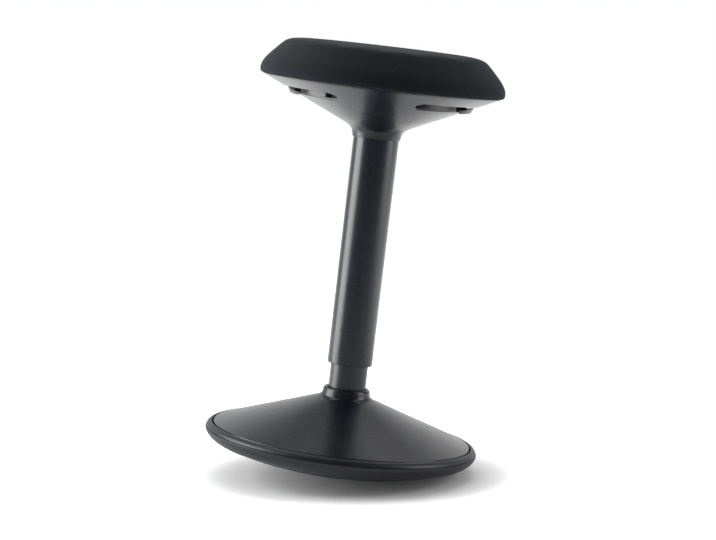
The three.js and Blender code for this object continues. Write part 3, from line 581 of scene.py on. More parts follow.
def lathe(name: str, outline: list[Point], closed: bool = True) -> Piece:
    """Builds a piece that is one turned outline, evenly shaded.

    Args:
        name: The piece's name.
        outline: Radius and level pairs.
        closed: Whether the last row joins the first.

    Returns:
        The piece.
    """
    shape = Shape()
    shape.turn(outline, closed)
    piece = shape.build(name)
    even_shading(piece)
    return piece


class Workshop:
    """Keeps each finish's material, so that it is made once, and sets pieces on their bodies."""

    sharp_deg = 32.0

    def __init__(self) -> None:
        """Starts with no materials."""
        self.made: dict[str, Material] = {}
        self.smoother = self.facet_smoother()

    def facet_smoother(self) -> bpy.types.NodeTree:
        """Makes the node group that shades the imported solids' round faces smoothly.

        Returns:
            A geometry node group that leaves sharp edges as they are.
        """
        group = bpy.data.node_groups.new("smooth_round_faces", "GeometryNodeTree")
        add = partial(add_node, group)
        for way in ("INPUT", "OUTPUT"):
            group.interface.new_socket("Geometry", in_out=way, socket_type="NodeSocketGeometry")
        angle = add("GeometryNodeInputMeshEdgeAngle").outputs["Unsigned Angle"]
        limits = {"A": angle, "B": math.radians(self.sharp_deg)}
        gentle = add("FunctionNodeCompare", limits, operation="LESS_THAN")
        faces = add("GeometryNodeSetShadeSmooth", {"Geometry": add("NodeGroupInput")})
        choice = {"Geometry": faces, "Shade Smooth": gentle}
        edges = add("GeometryNodeSetShadeSmooth", choice, domain="EDGE")
        add("NodeGroupOutput", {"Geometry": edges})
        return group

    def material(self, finish: Finish) -> Material:
        """Gives a finish's material.

        Args:
            finish: The finish that is wanted.

        Returns:
            Its one material.
        """
        if finish.name not in self.made:
            self.made[finish.name] = finish.make()
        return self.made[finish.name]

    def dress_node(self, name: str) -> None:
        """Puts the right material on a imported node.

        Args:
            name: The node's name.
        """
        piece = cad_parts[name]
        piece.data.materials.clear()
        piece.data.materials.append(self.material(NODE_FINISHES[name.rstrip("_0123456789")]))
        piece.modifiers.new("smooth_round_faces", "NODES").node_group = self.smoother

    def place(self, piece: Piece, finish: Finish, slot: str, body: str, *nodes: str) -> None:
        """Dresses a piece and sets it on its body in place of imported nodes.

        Args:
            piece: The finished mesh object.
            finish: What it is made of.
            slot: The record's material slot.
            body: The body that it moves with.
            *nodes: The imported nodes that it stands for.
        """
        piece.data.materials.append(self.material(finish))
        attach(piece, body)
        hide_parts(*nodes)
        LOG.info("built %s with %d faces", piece.name, len(piece.data.polygons))


@dataclass
class RollingBase:
    """The weighted foot: a domed rubber sole with a rolled rim, a conical cover and its collar.

    Sizes are radii, levels over the floor and thicknesses in millimetres, as in all the pieces.
    """

    dome_radius: float = 520.0
    dome_rows: int = 14
    flat_radius: float = 35.0
    sole_thickness: float = 6.0
    rim_foot_radius: float = 165.0
    rim_side: tuple[Point, ...] = (
        (168.9, 27.5), (172.6, 29.7), (176.8, 33.0), (179.9, 36.8), (181.5, 40.4),
    )
    rim_edge: Point = (181.9, 42.5)
    # The step line that runs round the rim.
    rim_groove: Point = (180.2, 43.1)
    rim_band: tuple[Point, ...] = (
        (180.9, 44.4), (180.1, 46.1), (178.7, 47.9), (176.9, 49.2), (175.2, 49.9),
    )
    rim_top: float = 50.4
    lip_radius: float = 173.5
    lip_drop: float = 0.4
    well_level: float = 34.3
    cover_edge: float = 171.5
    cover_lift: float = 0.1
    cover_skirt: float = 12.0
    cover_wall: float = 2.5
    cover_top_radius: float = 33.5
    cover_top: float = 100.4
    cover_mouth: float = 26.5
    # The cover leaves its cone at the first two radii and turns up at the collar.
    upturn_from: Point = (41.5, 38.8)
    upturn: tuple[Point, ...] = ((36.6, 99.5), (35.0, 100.5), (33.9, 101.5))
    upturn_lip: tuple[Corner, ...] = ((33.6, 101.6, 0.15), (33.5, 100.5, 0.2))
    collar_foot: tuple[Corner, ...] = (
        (25.35, 97.0, 0.3), (26.2, 97.0, 0.3), (26.2, 100.7, 0.2), (33.1, 100.7, 0.3),
    )
    bead: tuple[Point, ...] = (
        (33.2, 101.5), (32.6, 103.1), (32.1, 105.0), (31.7, 107.0), (31.4, 108.9), (30.9, 110.5),
        (30.0, 111.8), (28.7, 112.55), (27.3, 112.5), (26.3, 111.7),
    )
    collar_mouth: Corner = (25.35, 110.2, 0.3)

    def dome_centre(self) -> float:
        """Gives the height of the dome's centre."""
        return math.sqrt(self.dome_radius**2 - self.flat_radius**2)

    def dome_level(self, radius: float) -> float:
        """Gives the height of the sole's underside at a radius."""
        return max(0.0, self.dome_centre() - math.sqrt(self.dome_radius**2 - radius**2))

    def sole(self) -> Piece:
        """Builds the rubber sole and its rolled rim.

        Returns:
            The sole.
        """
        width = self.rim_foot_radius - self.flat_radius
        radii = [self.flat_radius + width * k / self.dome_rows for k in range(self.dome_rows + 1)]
        under = [(radius, self.dome_level(radius)) for radius in radii]
        side = flowing([under[-1], *self.rim_side])
        top = [
            side[-1],
            (*self.rim_edge, 0.45),
            (*self.rim_groove, 0.3),
            *flowing(self.rim_band, 3),
            (self.lip_radius, self.rim_top - self.lip_drop, 0.8),
            (self.lip_radius, self.well_level, 0.8),
        ]
        inside = [(radius, level + self.sole_thickness) for radius, level in reversed(under)]
        rim = [*side[1:-1], *filleted(top, closed=False)]
        outline = [(0.0, 0.0), *under, *rim, *inside, (0.0, self.sole_thickness)]
        return lathe("rolling_sole", outline, closed=False)

    def cover(self) -> Piece:
        """Builds the conical cover, its hem tucked into the sole and its top turned up.

        Returns:
            The cover.
        """
        run = (self.cover_edge - self.cover_top_radius) / (self.cover_top - self.rim_top)
        rise = self.cover_wall * math.hypot(1, run) / run
        edge, skirt = self.cover_edge, self.rim_top - self.cover_skirt

        def cone(radius: float) -> float:
            """Gives the cone's height at a radius."""
            return self.cover_top - (radius - self.cover_top_radius) / run

        inner = edge - self.cover_wall
        corners = [
            (self.cover_mouth, self.cover_top - rise, 0.4),
            (self.cover_top_radius, self.cover_top - rise, 2.0),
            (inner, cone(inner) - rise, 1.5),
            (inner, skirt, 0.4),
            (edge, skirt, 0.4),
            (edge, self.rim_top + self.cover_lift, 1.5),
            *flowing([*((r, cone(r)) for r in self.upturn_from), *self.upturn], 3),
            *self.upturn_lip,
            (self.cover_mouth, self.cover_top, 0.4),
        ]
        return lathe("base_cone_cover", filleted(corners))

    def collar(self) -> Piece:
        """Builds the rounded bead round the column's foot.

        Returns:
            The collar.
        """
        corners = [*self.collar_foot, *flowing(self.bead), self.collar_mouth]
        return lathe("column_collar", filleted(corners))

    def build(self, workshop: Workshop) -> None:
        """Builds the three pieces, dresses them and sets them on the base.

        Args:
            workshop: Gives the materials.
        """
        for piece, finish, slot, node in (
            (self.sole(), RUBBER, "sole_rubber", "sole"),
            (self.cover(), SHELL, "shell_plastic", "base_cover"),
            (self.collar(), COLLAR_RUBBER, "sole_rubber", "collar"),
        ):
            workshop.place(piece, finish, slot, "base", node)


@dataclass
class Column:
    """The upright: a powder-coated tube with a tapered foot, and the wider sleeve over it."""

    tube_radius: float = 25.0
    tube_wall: float = 2.0
    tube_foot: float = 34.0
    tube_top: float = 420.0
    taper_top: float = 96.0
    taper_radius: float = 23.38
    taper_wall: float = 2.4
    floor: float = 4.0
    rod_hole: float = 5.3
    sleeve_radius: float = 30.0
    sleeve_wall: float = 1.8
    sleeve_foot: float = 145.0
    sleeve_top: float = 452.0

    def tube(self) -> Piece:
        """Builds the tube that stands in the base.

        Returns:
            The tube.
        """
        bore = self.tube_radius - self.tube_wall
        cavity = self.taper_radius - self.taper_wall
        waist, floor = self.taper_top + self.floor, self.tube_foot + self.floor
        corners = [
            (self.rod_hole, self.tube_foot, 0.3), (self.taper_radius, self.tube_foot, 0.8),
            (self.tube_radius, self.taper_top, 4.0), (self.tube_radius, self.tube_top, 0.6),
            (bore, self.tube_top, 0.4), (bore, waist + self.floor, 2.0),
            (cavity, waist, 2.0), (cavity, floor, 1.0), (self.rod_hole, floor, 0.3),
        ]
        return lathe("stand_tube", filleted(corners))

    def sleeve(self) -> Piece:
        """Builds the sleeve that rises with the seat.

        Returns:
            The sleeve.
        """
        inner = self.sleeve_radius - self.sleeve_wall
        corners = [
            (inner, self.sleeve_foot, 0.5), (self.sleeve_radius, self.sleeve_foot, 0.7),
            (self.sleeve_radius, self.sleeve_top, 0.5), (inner, self.sleeve_top, 0.3),
        ]
        return lathe("lift_sleeve", filleted(corners))

    def build(self, workshop: Workshop) -> None:
        """Builds both tubes, dresses them and sets them on their bodies.

        Args:
            workshop: Gives the materials.
        """
        for piece, body, node in (
            (self.tube(), "base", "column_tube"),
            (self.sleeve(), "seat_group", "cover_sleeve"),
        ):
            workshop.place(piece, POWDER, "powder_steel", body, node)


@dataclass(frozen=True)
class FingerSlot:
    """A curved slot with round ends, through which fingers lift the release ring."""

    facing_deg: float
    inner: float = 109.6
    outer: float = 128.0
    half_deg: float = 64.6
    along: int = 64
    across: int = 12

    def ends(self) -> Point:
        """Gives the middle radius, and the angle from the slot's middle to an end's centre."""
        middle = (self.inner + self.outer) / 2
        return middle, math.radians(self.half_deg) - (self.outer - self.inner) / 2 / middle

    def outline(self, growth: float) -> list[Point]:
        """Draws the slot seen from above.

        Args:
            growth: How far the outline stands outside the slot's own edge.

        Returns:
            Points in millimetres, as many for any growth.
        """
        middle, end = self.ends()
        half = (self.outer - self.inner) / 2 + growth
        points: list[Point] = []
        for side, start in ((1, -end), (-1, end)):
            for k in range(self.along):
                points.append(polar(middle + side * half, start - 2 * start * k / self.along))
            tip_x, tip_y = polar(middle, -start)
            for k in range(self.across):
                spin = -start + (0 if side > 0 else math.pi) + math.pi * k / self.across
                x, y = polar(half, spin)
                points.append((tip_x + x, tip_y + y))
        return [turned(x, y, self.facing_deg) for x, y in points]

    def holds(self, x: float, y: float, growth: float) -> bool:
        """Tells whether a point seen from above lies in the slot.

        Args:
            x: The point's place.
            y: The point's place.
            growth: The margin by which the slot is grown.

        Returns:
            True if it does.
        """
        middle, end = self.ends()
        turn = math.atan2(y, x) - math.radians(self.facing_deg)
        turn = math.atan2(math.sin(turn), math.cos(turn))
        radius, half = math.hypot(x, y), (self.outer - self.inner) / 2 + growth
        if abs(turn) <= end:
            return abs(radius - middle) < half
        return math.dist(polar(radius, turn), polar(middle, math.copysign(end, turn))) < half


@dataclass(frozen=True)
class ScrewWell:
    """A round hole through which a casing screw is driven."""

    turn_deg: float
    circle: float = 136.0
    radius: float = 4.3
    points: int = 24

    def centre(self) -> Point:
        """Gives the hole's middle, seen from above."""
        return polar(self.circle, math.radians(self.turn_deg))

    def outline(self, growth: float) -> list[Point]:
        """Draws the hole seen from above.

        Args:
            growth: The margin by which it is grown.

        Returns:
            Points in millimetres, as many for any growth.
        """
        mid_x, mid_y = self.centre()
        row = round_row(self.radius + growth, 0.0, self.points)
        return [(mid_x + x, mid_y + y) for x, y, _ in row]

    def holds(self, x: float, y: float, growth: float) -> bool:
        """Tells whether a point seen from above lies in the hole, grown by a margin."""
        return math.dist((x, y), self.centre()) < self.radius + growth


@dataclass
class UnderSeat:
    """The conical casing under the seat and the release ring that works inside it."""

    rim_radius: float = 157.5
    rim_level: float = 516.1
    # How far the cone runs out for each millimetre it rises.
    run: float = 2.19
    wall: float = 2.5
    sharp_deg: float = 40.0
    # How the openings' edges are rounded, and in how many chords.
    edge_round: float = 0.9
    edge_chords: int = 5
    # How far inside the rim its bevel begins and ends.
    rim_chamfer: Point = (0.2, 0.8)
    neck: tuple[Point, ...] = (
        (31.6, 447.1), (31.85, 448.6), (32.5, 451.8), (33.2, 454.5), (34.4, 456.9),
        (36.5, 459.3), (40.0, 461.9), (45.1, 464.7), (51.1, 467.5), (57.0, 470.2),
    )
    neck_lip: Point = (31.35, 446.6)
    inner_neck: tuple[Point, ...] = (
        (57.0, 472.95), (50.6, 470.1), (44.4, 467.2), (38.6, 464.2), (34.0, 461.0),
        (31.2, 457.4), (30.6, 453.0), (30.6, 447.2), (31.1, 446.6),
    )
    # The cone's mesh lies between these radii, in rows of about this distance.
    sheet: Point = (57.0, 150.0)
    row_gap: float = 5.8
    hole_margin: float = 1.6
    weld_mm: float = 1e-5
    screw_turns: tuple[float, ...] = (18.0, 90.0, 162.0)
    boss_radius: float = 6.4
    boss_top: float = 518.2
    boss_segments: int = 32
    # How far the boss reaches into its hole.
    boss_overlap: float = 0.05
    head_roof: float = 511.2
    shank_radius: float = 2.1
    slot_turns: Point = (-3.0, 177.0)
    tongue_turns: Point = (240.0, 300.0)
    tongue_reach: Point = (135.0, 139.0)
    tongue_width: float = 12.0
    tongue_top: float = 521.7
    bar_round: float = 0.5
    ring_radii: Point = (98.5, 101.5)
    ring_levels: Point = (499.5, 508.27)
    ring_sharp_deg: float = 50.0
    # Walls that hang from webs on the ring: radii, levels and degrees from the slot's middle.
    web_root: float = 99.5
    web_thickness: float = 2.0
    skirt: Point = (112.4, 114.4)
    skirt_levels: Point = (496.1, 502.8)
    skirt_spans: tuple[Point, ...] = ((-62.0, -28.0), (28.0, 55.5))
    stem: Point = (110.8, 114.0)
    stem_levels: Point = (497.6, 500.6)
    stem_foot: float = 494.5
    stem_span: Point = (-10.0, 10.0)
    hook_chords: int = 16
    # The paddle is a lens of two arcs. Its outer face leans in towards its foot.
    paddle_inner: float = 110.5
    paddle_centre: float = 71.5
    paddle_round: float = 51.5
    paddle_foot: float = 492.3
    paddle_foot_slope: float = 0.12
    paddle_lean: float = 3.5
    paddle_rise: float = 0.8
    # What share of the way to the arcs' crossing the outer and the inner arc go.
    paddle_tips: Point = (0.985, 0.96)
    # Share of the paddle's height, and how far its edge is rounded in there.
    paddle_rows: tuple[Point, ...] = (
        (0.0, 1.1), (0.03, 0.5), (0.09, 0.12), (0.2, 0.0), (0.45, 0.0), (0.7, 0.0), (0.9, 0.0),
        (0.97, 0.2), (1.0, 0.6),
    )
    paddle_chords: int = 40
    # Three lugs for the rockers, each with two upright cheeks.
    lug_turns: tuple[float, ...] = (90.0, 210.0, 330.0)
    lug_foot: float = 495.27
    lug_reach: Point = (85.5, 99.5)
    lug_width: float = 17.0
    lug_thickness: float = 3.5
    cheek_reach: Point = (85.9, 99.9)
    cheek_shifts: Point = (-7.0, 7.0)
    cheek_width: float = 3.0
    cheek_levels: Point = (498.47, 506.27)

    def level(self, radius: float) -> float:
        """Gives the height of the casing's outer face at a radius."""
        return self.rim_level - (self.rim_radius - radius) / self.run

    def rise(self) -> float:
        """Gives the casing's wall measured straight up."""
        return self.wall * math.hypot(1, self.run) / self.run

    def on_cone(self, plan: list[Point], depth: float) -> list[Place]:
        """Lays plan points on the cone.

        Args:
            plan: The points seen from above.
            depth: How far they lie over the outer face.

        Returns:
            The points in space.
        """
        return [(x, y, self.level(math.hypot(x, y)) + depth) for x, y in plan]

    def cone_mesh(self, openings: list[FingerSlot | ScrewWell]) -> tuple[list, list, list, list]:
        """Meshes the cone between the neck and the rim, seen from above.

        Args:
            openings: What is cut through it.

        Returns:
            Plan points, faces, the two border rows, and each opening's row, as point numbers.
        """
        near, far = self.sheet
        rows = round((far - near) / self.row_gap)
        margin = self.edge_round + self.hole_margin
        plan: list[Point] = []
        borders, loops = [], []
        for k in range(rows + 1):
            # Every other row is turned by half a step, so that the triangles are even.
            shift = 180.0 / SEGMENTS if k % 2 and k < rows else 0.0
            row = [p[:2] for p in round_row(near + (far - near) * k / rows, 0.0, start=shift)]
            if k in (0, rows):
                borders.append(list(range(len(plan), len(plan) + len(row))))
            else:
                row = [p for p in row if not any(o.holds(*p, margin) for o in openings)]
            plan.extend(row)
        for opening in openings:
            loop = opening.outline(self.edge_round)
            loops.append(list(range(len(plan), len(plan) + len(loop))))
            plan.extend(loop)
        edges = [edge for row in borders + loops for edge in zip(row, row[1:] + row[:1])]
        places = [Vector(p) for p in plan]
        found, _, faces, origins, _, _ = delaunay_2d_cdt(places, edges, [], 0, self.weld_mm, True)
        new_number = {old: new for new, olds in enumerate(origins) for old in olds}
        borders, loops = (
            [[new_number[i] for i in row] for row in rows] for rows in (borders, loops)
        )
        core, gone = set(borders[0]), [set(loop) for loop in loops]
        kept = []
        for face in faces:
            x, y = (sum(found[i][axis] for i in face) / len(face) for axis in (0, 1))
            cut = core.issuperset(face) or any(
                loop.issuperset(face) and opening.holds(x, y, self.edge_round)
                for loop, opening in zip(gone, openings)
            )
            if not cut:
                kept.append(tuple(face))
        return [(p.x, p.y) for p in found], kept, borders, loops

    def casing(self) -> Piece:
        """Builds the casing: neck, slotted cone, rounded rim and the bosses inside it.

        Returns:
            The casing.
        """
        openings = [*map(FingerSlot, self.slot_turns), *map(ScrewWell, self.screw_turns)]
        plan, faces, borders, loops = self.cone_mesh(openings)
        rise = self.rise()
        shape = Shape()
        skins = []
        for depth in (0.0, rise):
            numbers = shape.add(self.on_cone(plan, depth))
            shape.faces.extend(tuple(numbers[i] for i in face) for face in faces)
            skins.append(numbers)
        spins = [math.radians(90 * (k + 1) / self.edge_chords) for k in range(self.edge_chords)]
        bends = [
            (self.edge_round * (1 - math.sin(a)), self.edge_round * (1 - math.cos(a)))
            for a in spins
        ]
        steps = bends + [(growth, rise - drop) for growth, drop in reversed(bends)]
        sides = [
            (loop, [self.on_cone(opening.outline(growth), depth) for growth, depth in steps])
            for opening, loop in zip(openings, loops)
        ]
        for border, outline in zip(borders[::-1], (self.rim_outline(), self.neck_outline())):
            sides.append((border, [round_row(*spot) for spot in outline]))
        for border, rows in sides:
            outer, inner = ([skin[i] for i in border] for skin in skins)
            shape.bridge(shape.extend(outer, rows), inner)
        for turn in self.screw_turns:
            self.add_boss(shape, turn)
        foot = self.level(self.tongue_reach[1]) + rise / 3
        for turn in self.tongue_turns:
            self.add_bar(shape, turn, self.tongue_reach, self.tongue_width, (foot, self.tongue_top))
        piece = shape.build("seat_casing")
        piece.data.set_sharp_from_angle(angle=math.radians(self.sharp_deg))
        self.set_cone_normals(piece.data, *skins)
        return piece

    def set_cone_normals(self, mesh: bpy.types.Mesh, outer: list[int], inner: list[int]) -> None:
        """Gives the cone's points the normals of a true cone, so that its triangles don't show.

        Args:
            mesh: The casing's mesh.
            outer: The points of its outer skin.
            inner: The points of its inner skin.
        """
        # A normal of length zero leaves a point's own normals as they are.
        normals = [Vector((0, 0, 0))] * len(mesh.vertices)
        for side, numbers in ((1, outer), (-1, inner)):
            for i in numbers:
                x, y, _ = mesh.vertices[i].co
                flat = math.hypot(x, y)
                normals[i] = side * Vector((x / flat, y / flat, -self.run)).normalized()
        mesh.normals_split_custom_set_from_vertices(normals)

    def rim_outline(self) -> list[Point]:
        """Draws the way from the outer skin round the casing's upper rim to the inner one.

        Returns:
            Radius and level pairs.
        """
        edge, (low, high) = self.sheet[1], self.rim_chamfer
        corners = [
            (edge, self.level(edge)),
            (self.rim_radius - low, self.level(self.rim_radius - low), 0.35),
            (self.rim_radius - high, self.rim_level, 0.35),
            (self.rim_radius - self.rise() * self.run, self.rim_level, 0.3),
            (edge, self.level(edge) + self.rise()),
        ]
        return filleted(corners, closed=False)[1:-1]

    def neck_outline(self) -> list[Point]:
        """Gives the way from the outer skin down and round the neck to the inner one."""
        return flowing(self.neck)[-2::-1] + [self.neck_lip] + flowing(self.inner_neck)[:0:-1]

    def add_boss(self, shape: Shape, turn: float) -> None:
        """Adds the tube in which a casing screw's head sits.

        Args:
            shape: The mesh that takes the boss.
            turn: Its angle about the stool's axis, in degrees.
        """
        well = ScrewWell(turn)
        mid_x, mid_y = well.centre()
        foot = self.level(well.circle + self.boss_radius) + self.rise() / 2
        bore = well.radius - self.boss_overlap
        corners = [
            (bore, foot), (self.boss_radius, foot), (self.boss_radius, self.boss_top, 0.3),
            (self.shank_radius, self.boss_top, 0.2), (self.shank_radius, self.head_roof, 0.2),
            (bore, self.head_roof, 0.2),
        ]
        rows = []
        for spot in filleted(corners, steps=3):
            ring = round_row(*spot, self.boss_segments)
            rows.append(shape.add([(x + mid_x, y + mid_y, z) for x, y, z in ring]))
        shape.loft(rows, closed=True)

    def add_bar(self, shape: Shape, turn: float, reach: Point, width: float, levels: Point) -> None:
        """Adds a radial bar with rounded edges.

        Args:
            shape: The mesh that takes the bar.
            turn: Its angle about the stool's axis, in degrees.
            reach: Its inner and outer radius.
            width: Its width across.
            levels: Its foot and top.
        """
        half, edge, (foot, top) = width / 2, self.bar_round, levels
        corners = [(-half, foot, edge), (half, foot, edge), (half, top, edge), (-half, top, edge)]
        section = filleted(corners, steps=3)
        rows = []
        for inset, along in (
            (edge, reach[0]), (0.0, reach[0] + edge), (0.0, reach[1] - edge), (edge, reach[1])
        ):
            row = []
            for y, z in section:
                lift = inset if z < (foot + top) / 2 else -inset
                row.append((*turned(along, y * ((half - inset) / half), turn), z + lift))
            rows.append(shape.add(row))
        shape.loft(rows, capped=True)

    def release_ring(self) -> Piece:
        """Builds the ring, its finger tabs and the three lugs that the rockers bear on.

        Returns:
            The release ring.
        """
        shape = Shape()
        (bore, radius), (foot, top) = self.ring_radii, self.ring_levels
        shape.turn(
            filleted([(bore, foot, 0.8), (radius, foot, 0.8), (radius, top, 0.9), (bore, top, 0.9)])
        )
        skirt_foot, skirt_top = self.skirt_levels
        skirt_web = (skirt_top - self.web_thickness, skirt_top)
        for side in self.slot_turns:
            self.add_hook(shape, side, self.stem_span, self.stem, self.stem_foot, self.stem_levels)
            for arc in self.skirt_spans:
                self.add_hook(shape, side, arc, self.skirt, skirt_foot, skirt_web)
            self.add_paddle(shape, side)
        lug_levels = (self.lug_foot, self.lug_foot + self.lug_thickness)
        for turn in self.lug_turns:
            self.add_bar(shape, turn, self.lug_reach, self.lug_width, lug_levels)
            for shift in self.cheek_shifts:
                lean = turn + math.degrees(math.atan2(shift, sum(self.lug_reach) / 2))
                self.add_bar(shape, lean, self.cheek_reach, self.cheek_width, self.cheek_levels)
        return shape.build("finger_ring")

    def add_hook(
        self, shape: Shape, side: float, arc: Point, wall: Point, foot: float, web: Point
    ) -> None:
        """Adds part of a turned wall that hangs from a web on the ring.

        Args:
            shape: The mesh that takes the piece.
            side: The angle of the slot's middle, in degrees.
            arc: Where it begins and ends, counted from there.
            wall: The hanging wall's inner and outer radius.
            foot: The level of the wall's foot.
            web: The web's foot and top.
        """
        (inner, outer), (below, above) = wall, web
        start, end = side + arc[0], side + arc[1]
        corners = [
            (self.web_root, below), (inner, below, 0.8), (inner, foot, 0.6),
            (outer, foot, 0.6), (outer, above, 0.8), (self.web_root, above),
        ]
        section = filleted(corners, steps=4)
        mid_radius, mid_level = (inner + outer) / 2, (below + above) / 2
        step = math.degrees(self.bar_round / outer)
        sweep, chords = end - start - 2 * step, self.hook_chords
        rows = []
        for turn in [start, *(start + step + sweep * k / chords for k in range(chords + 1)), end]:
            inset = self.bar_round if turn in (start, end) else 0.0
            row = []
            for radius, level in section:
                radius += inset if radius < mid_radius else -inset
                level += inset if level < mid_level else -inset
                row.append((*polar(radius, math.radians(turn)), level))
            rows.append(shape.add(row))
        shape.loft(rows, capped=True)

    def paddle_arcs(self, inset: float) -> tuple[list[Point], list[Point]]:
        """Draws a finger paddle seen from above, facing +X.

        Args:
            inset: How far its outer arc stands inside the widest one.

        Returns:
            The points of its outer and inner arc, from one blunt tip to the other.
        """
        reach, middle, inner = self.paddle_round - inset, self.paddle_centre, self.paddle_inner
        across = (inner**2 + middle**2 - reach**2) / (2 * middle)
        tip = math.sqrt(inner**2 - across**2)
        wide = self.paddle_tips[0] * math.atan2(tip, across - middle)
        narrow = self.paddle_tips[1] * math.atan2(tip, across)
        shares = [2 * k / self.paddle_chords - 1 for k in range(self.paddle_chords + 1)]
        outer_arc = [polar(reach, wide * share) for share in shares]
        inner_arc = [polar(inner, narrow * share) for share in shares]
        return [(middle + x, y) for x, y in outer_arc], inner_arc

    def add_paddle(self, shape: Shape, side: float) -> None:
        """Adds a finger paddle: a crescent that stands a little proud of the cone in its slot.

        Args:
            shape: The mesh that takes the paddle.
            side: The angle of its middle about the stool's axis, in degrees.
        """
        rows = []
        for share, edge in self.paddle_rows:
            outer_arc, inner_arc = self.paddle_arcs(edge + self.paddle_lean * (1 - share))
            row = []
            for x, y in outer_arc + inner_arc[::-1]:
                radius = math.hypot(x, y)
                foot = self.paddle_foot + self.paddle_foot_slope * (radius - self.paddle_inner)
                top = self.level(radius) + self.paddle_rise
                row.append((*turned(x, y, side), foot + share * (top - foot)))
            rows.append(shape.add(row))
        shape.loft(rows)
        for row in (rows[0], rows[-1]):
            half = len(row) // 2
            shape.bridge(row[:half], row[half:][::-1], round_trip=False)

    def build(self, workshop: Workshop) -> None:
        """Builds the casing and the ring, dresses them and sets them on their bodies.

        Args:
            workshop: Gives the materials.
        """
        casing, ring = self.casing(), self.release_ring()
        even_shading(ring, self.ring_sharp_deg)
        workshop.place(casing, SHELL, "shell_plastic", "seat_group", "casing")
        workshop.place(ring, RING_PLASTIC, "ring_plastic", "release_ring", "release_ring")


@dataclass
class SeatPad:
    """The upholstered pad: foam under tightly drawn cloth, tucked in below the board's edge."""

    side: tuple[Point, ...] = (
        (158.5, 516.4), (160.9, 517.6), (162.3, 520.6), (162.6, 524.0), (162.0, 528.5),
        (159.2, 534.2), (155.2, 539.8), (150.4, 545.3), (145.4, 550.6), (140.4, 555.9),
        (134.6, 561.2), (131.3, 563.8), (127.9, 565.7), (122.4, 566.9),
    )
    crown: float = 1.2
    seat_level: float = 568.0
    # From the hem inwards and up the recess that the board fills.
    hem_level: float = 516.4
    under: tuple[Point, ...] = (
        (150.0, 516.4), (144.0, 516.4), (144.0, 518.1), (147.6, 518.1), (150.8, 518.1),
        (150.8, 524.6), (150.8, 531.2),
    )
    roof: Point = (146.0, 531.2)
    cells: int = 40
    # How much smaller than its final form the cloth is cut. At the hem it is this share of
    # that, and it grows at this rate with the share of the height.
    swell: float = 1.3
    swell_hem: float = 0.2
    swell_rate: float = 4.0
    # How many rows over the hem the staples hold, and how far the others may move.
    held_rows: int = 2
    cap: float = 0.8
    quality: int = 6
    mass: float = 0.4
    pressure: float = 3.0
    stiffness: float = 80.0
    shear: float = 40.0
    bending: float = 15.0
    frames: int = 20

    def disc(self, shape: Shape, radius: float, level: float, dome: float) -> list[int]:
        """Adds a round face of even squares.

        Args:
            shape: The mesh that takes it.
            radius: Its radius.
            level: The height of its middle.
            dome: How far its edge lies below its middle.

        Returns:
            Its border row, from -45 degrees round.
        """
        count = self.cells
        grid: dict[Point, int] = {}
        for i in range(count + 1):
            for k in range(count + 1):
                a, b = 2 * i / count - 1, 2 * k / count - 1
                if a == 0 and b == 0:
                    reach, turn = 0.0, 0.0
                elif abs(a) >= abs(b):
                    reach, turn = a, math.pi / 4 * b / a
                else:
                    reach, turn = b, math.pi / 2 - math.pi / 4 * a / b
                grid[i, k] = shape.add([(*polar(radius * reach, turn), level - dome * reach**2)])[0]
        for i in range(count):
            for k in range(count):
                shape.faces.append((grid[i, k], grid[i + 1, k], grid[i + 1, k + 1], grid[i, k + 1]))
        steps = range(count)
        return (
            [grid[count, k] for k in steps] + [grid[count - k, count] for k in steps]
            + [grid[0, count - k] for k in steps] + [grid[k, 0] for k in steps]
        )

    def blank(self) -> tuple[Shape, int]:
        """Cuts the pad a little small, as a closed form with the board's recess in it.

        Returns:
            The shape, and the number of its first held point: that and all later ones
            lie in the hem and the recess.
        """
        shape = Shape()
        top = self.disc(
            shape, self.side[-1][0] - self.swell, self.seat_level - self.swell, self.crown
        )
        free = []
        for radius, level in flowing(self.side, 2)[-2::-1]:
            up = (level - self.hem_level) / (self.seat_level - self.hem_level)
            share = min(1.0, self.swell_rate * up + self.swell_hem)
            free.append((radius - self.swell * share, level - self.swell * up))
        rows = [round_row(*spot, 4 * self.cells, -45.0) for spot in (*free, *self.under)]
        loose = len(free) - self.held_rows
        row = shape.extend(top, rows[:loose])
        held_from = len(shape.points)
        row = shape.extend(row, rows[loose:])
        shape.bridge(row, self.disc(shape, *self.roof, 0.0))
        return shape, held_from

    def swollen(self, pad: Piece, held_from: int) -> None:
        """Lets the foam press the cloth out, and keeps the result.

        Args:
            pad: The pad's mesh object.
            held_from: The first point that the board and the staples hold.
        """
        held = pad.vertex_groups.new(name="held")
        held.add(list(range(held_from, len(pad.data.vertices))), 1.0, "REPLACE")
        start = [vertex.co.copy() for vertex in pad.data.vertices]
        cloth = pad.modifiers.new("swell", "CLOTH")
        settings = cloth.settings
        settings.quality, settings.mass = self.quality, self.mass
        settings.tension_stiffness = settings.compression_stiffness = self.stiffness
        settings.shear_stiffness = self.shear
        settings.bending_stiffness = self.bending
        settings.use_pressure = True
        settings.uniform_pressure_force = self.pressure
        settings.vertex_group_mass = "held"
        settings.effector_weights.gravity = 0.0
        cloth.point_cache.frame_start = 1
        cloth.point_cache.frame_end = self.frames
        scene = bpy.context.scene
        for frame in range(1, self.frames + 1):
            scene.frame_set(frame)
        bpy.context.view_layer.update()
        shown = pad.evaluated_get(bpy.context.evaluated_depsgraph_get())
        final = [vertex.co.copy() for vertex in shown.data.vertices]
        pad.modifiers.remove(cloth)
        scene.frame_set(1)
        cap = self.cap * MM
        furthest = 0.0
        for vertex, first, last in zip(pad.data.vertices, start, final):
            moved = last - first
            furthest = max(furthest, moved.length)
            if moved.length > 0:
                moved *= cap * math.tanh(moved.length / cap) / moved.length
            vertex.co = first + moved
        LOG.info("cloth moved up to %.2f mm before its cap", furthest / MM)

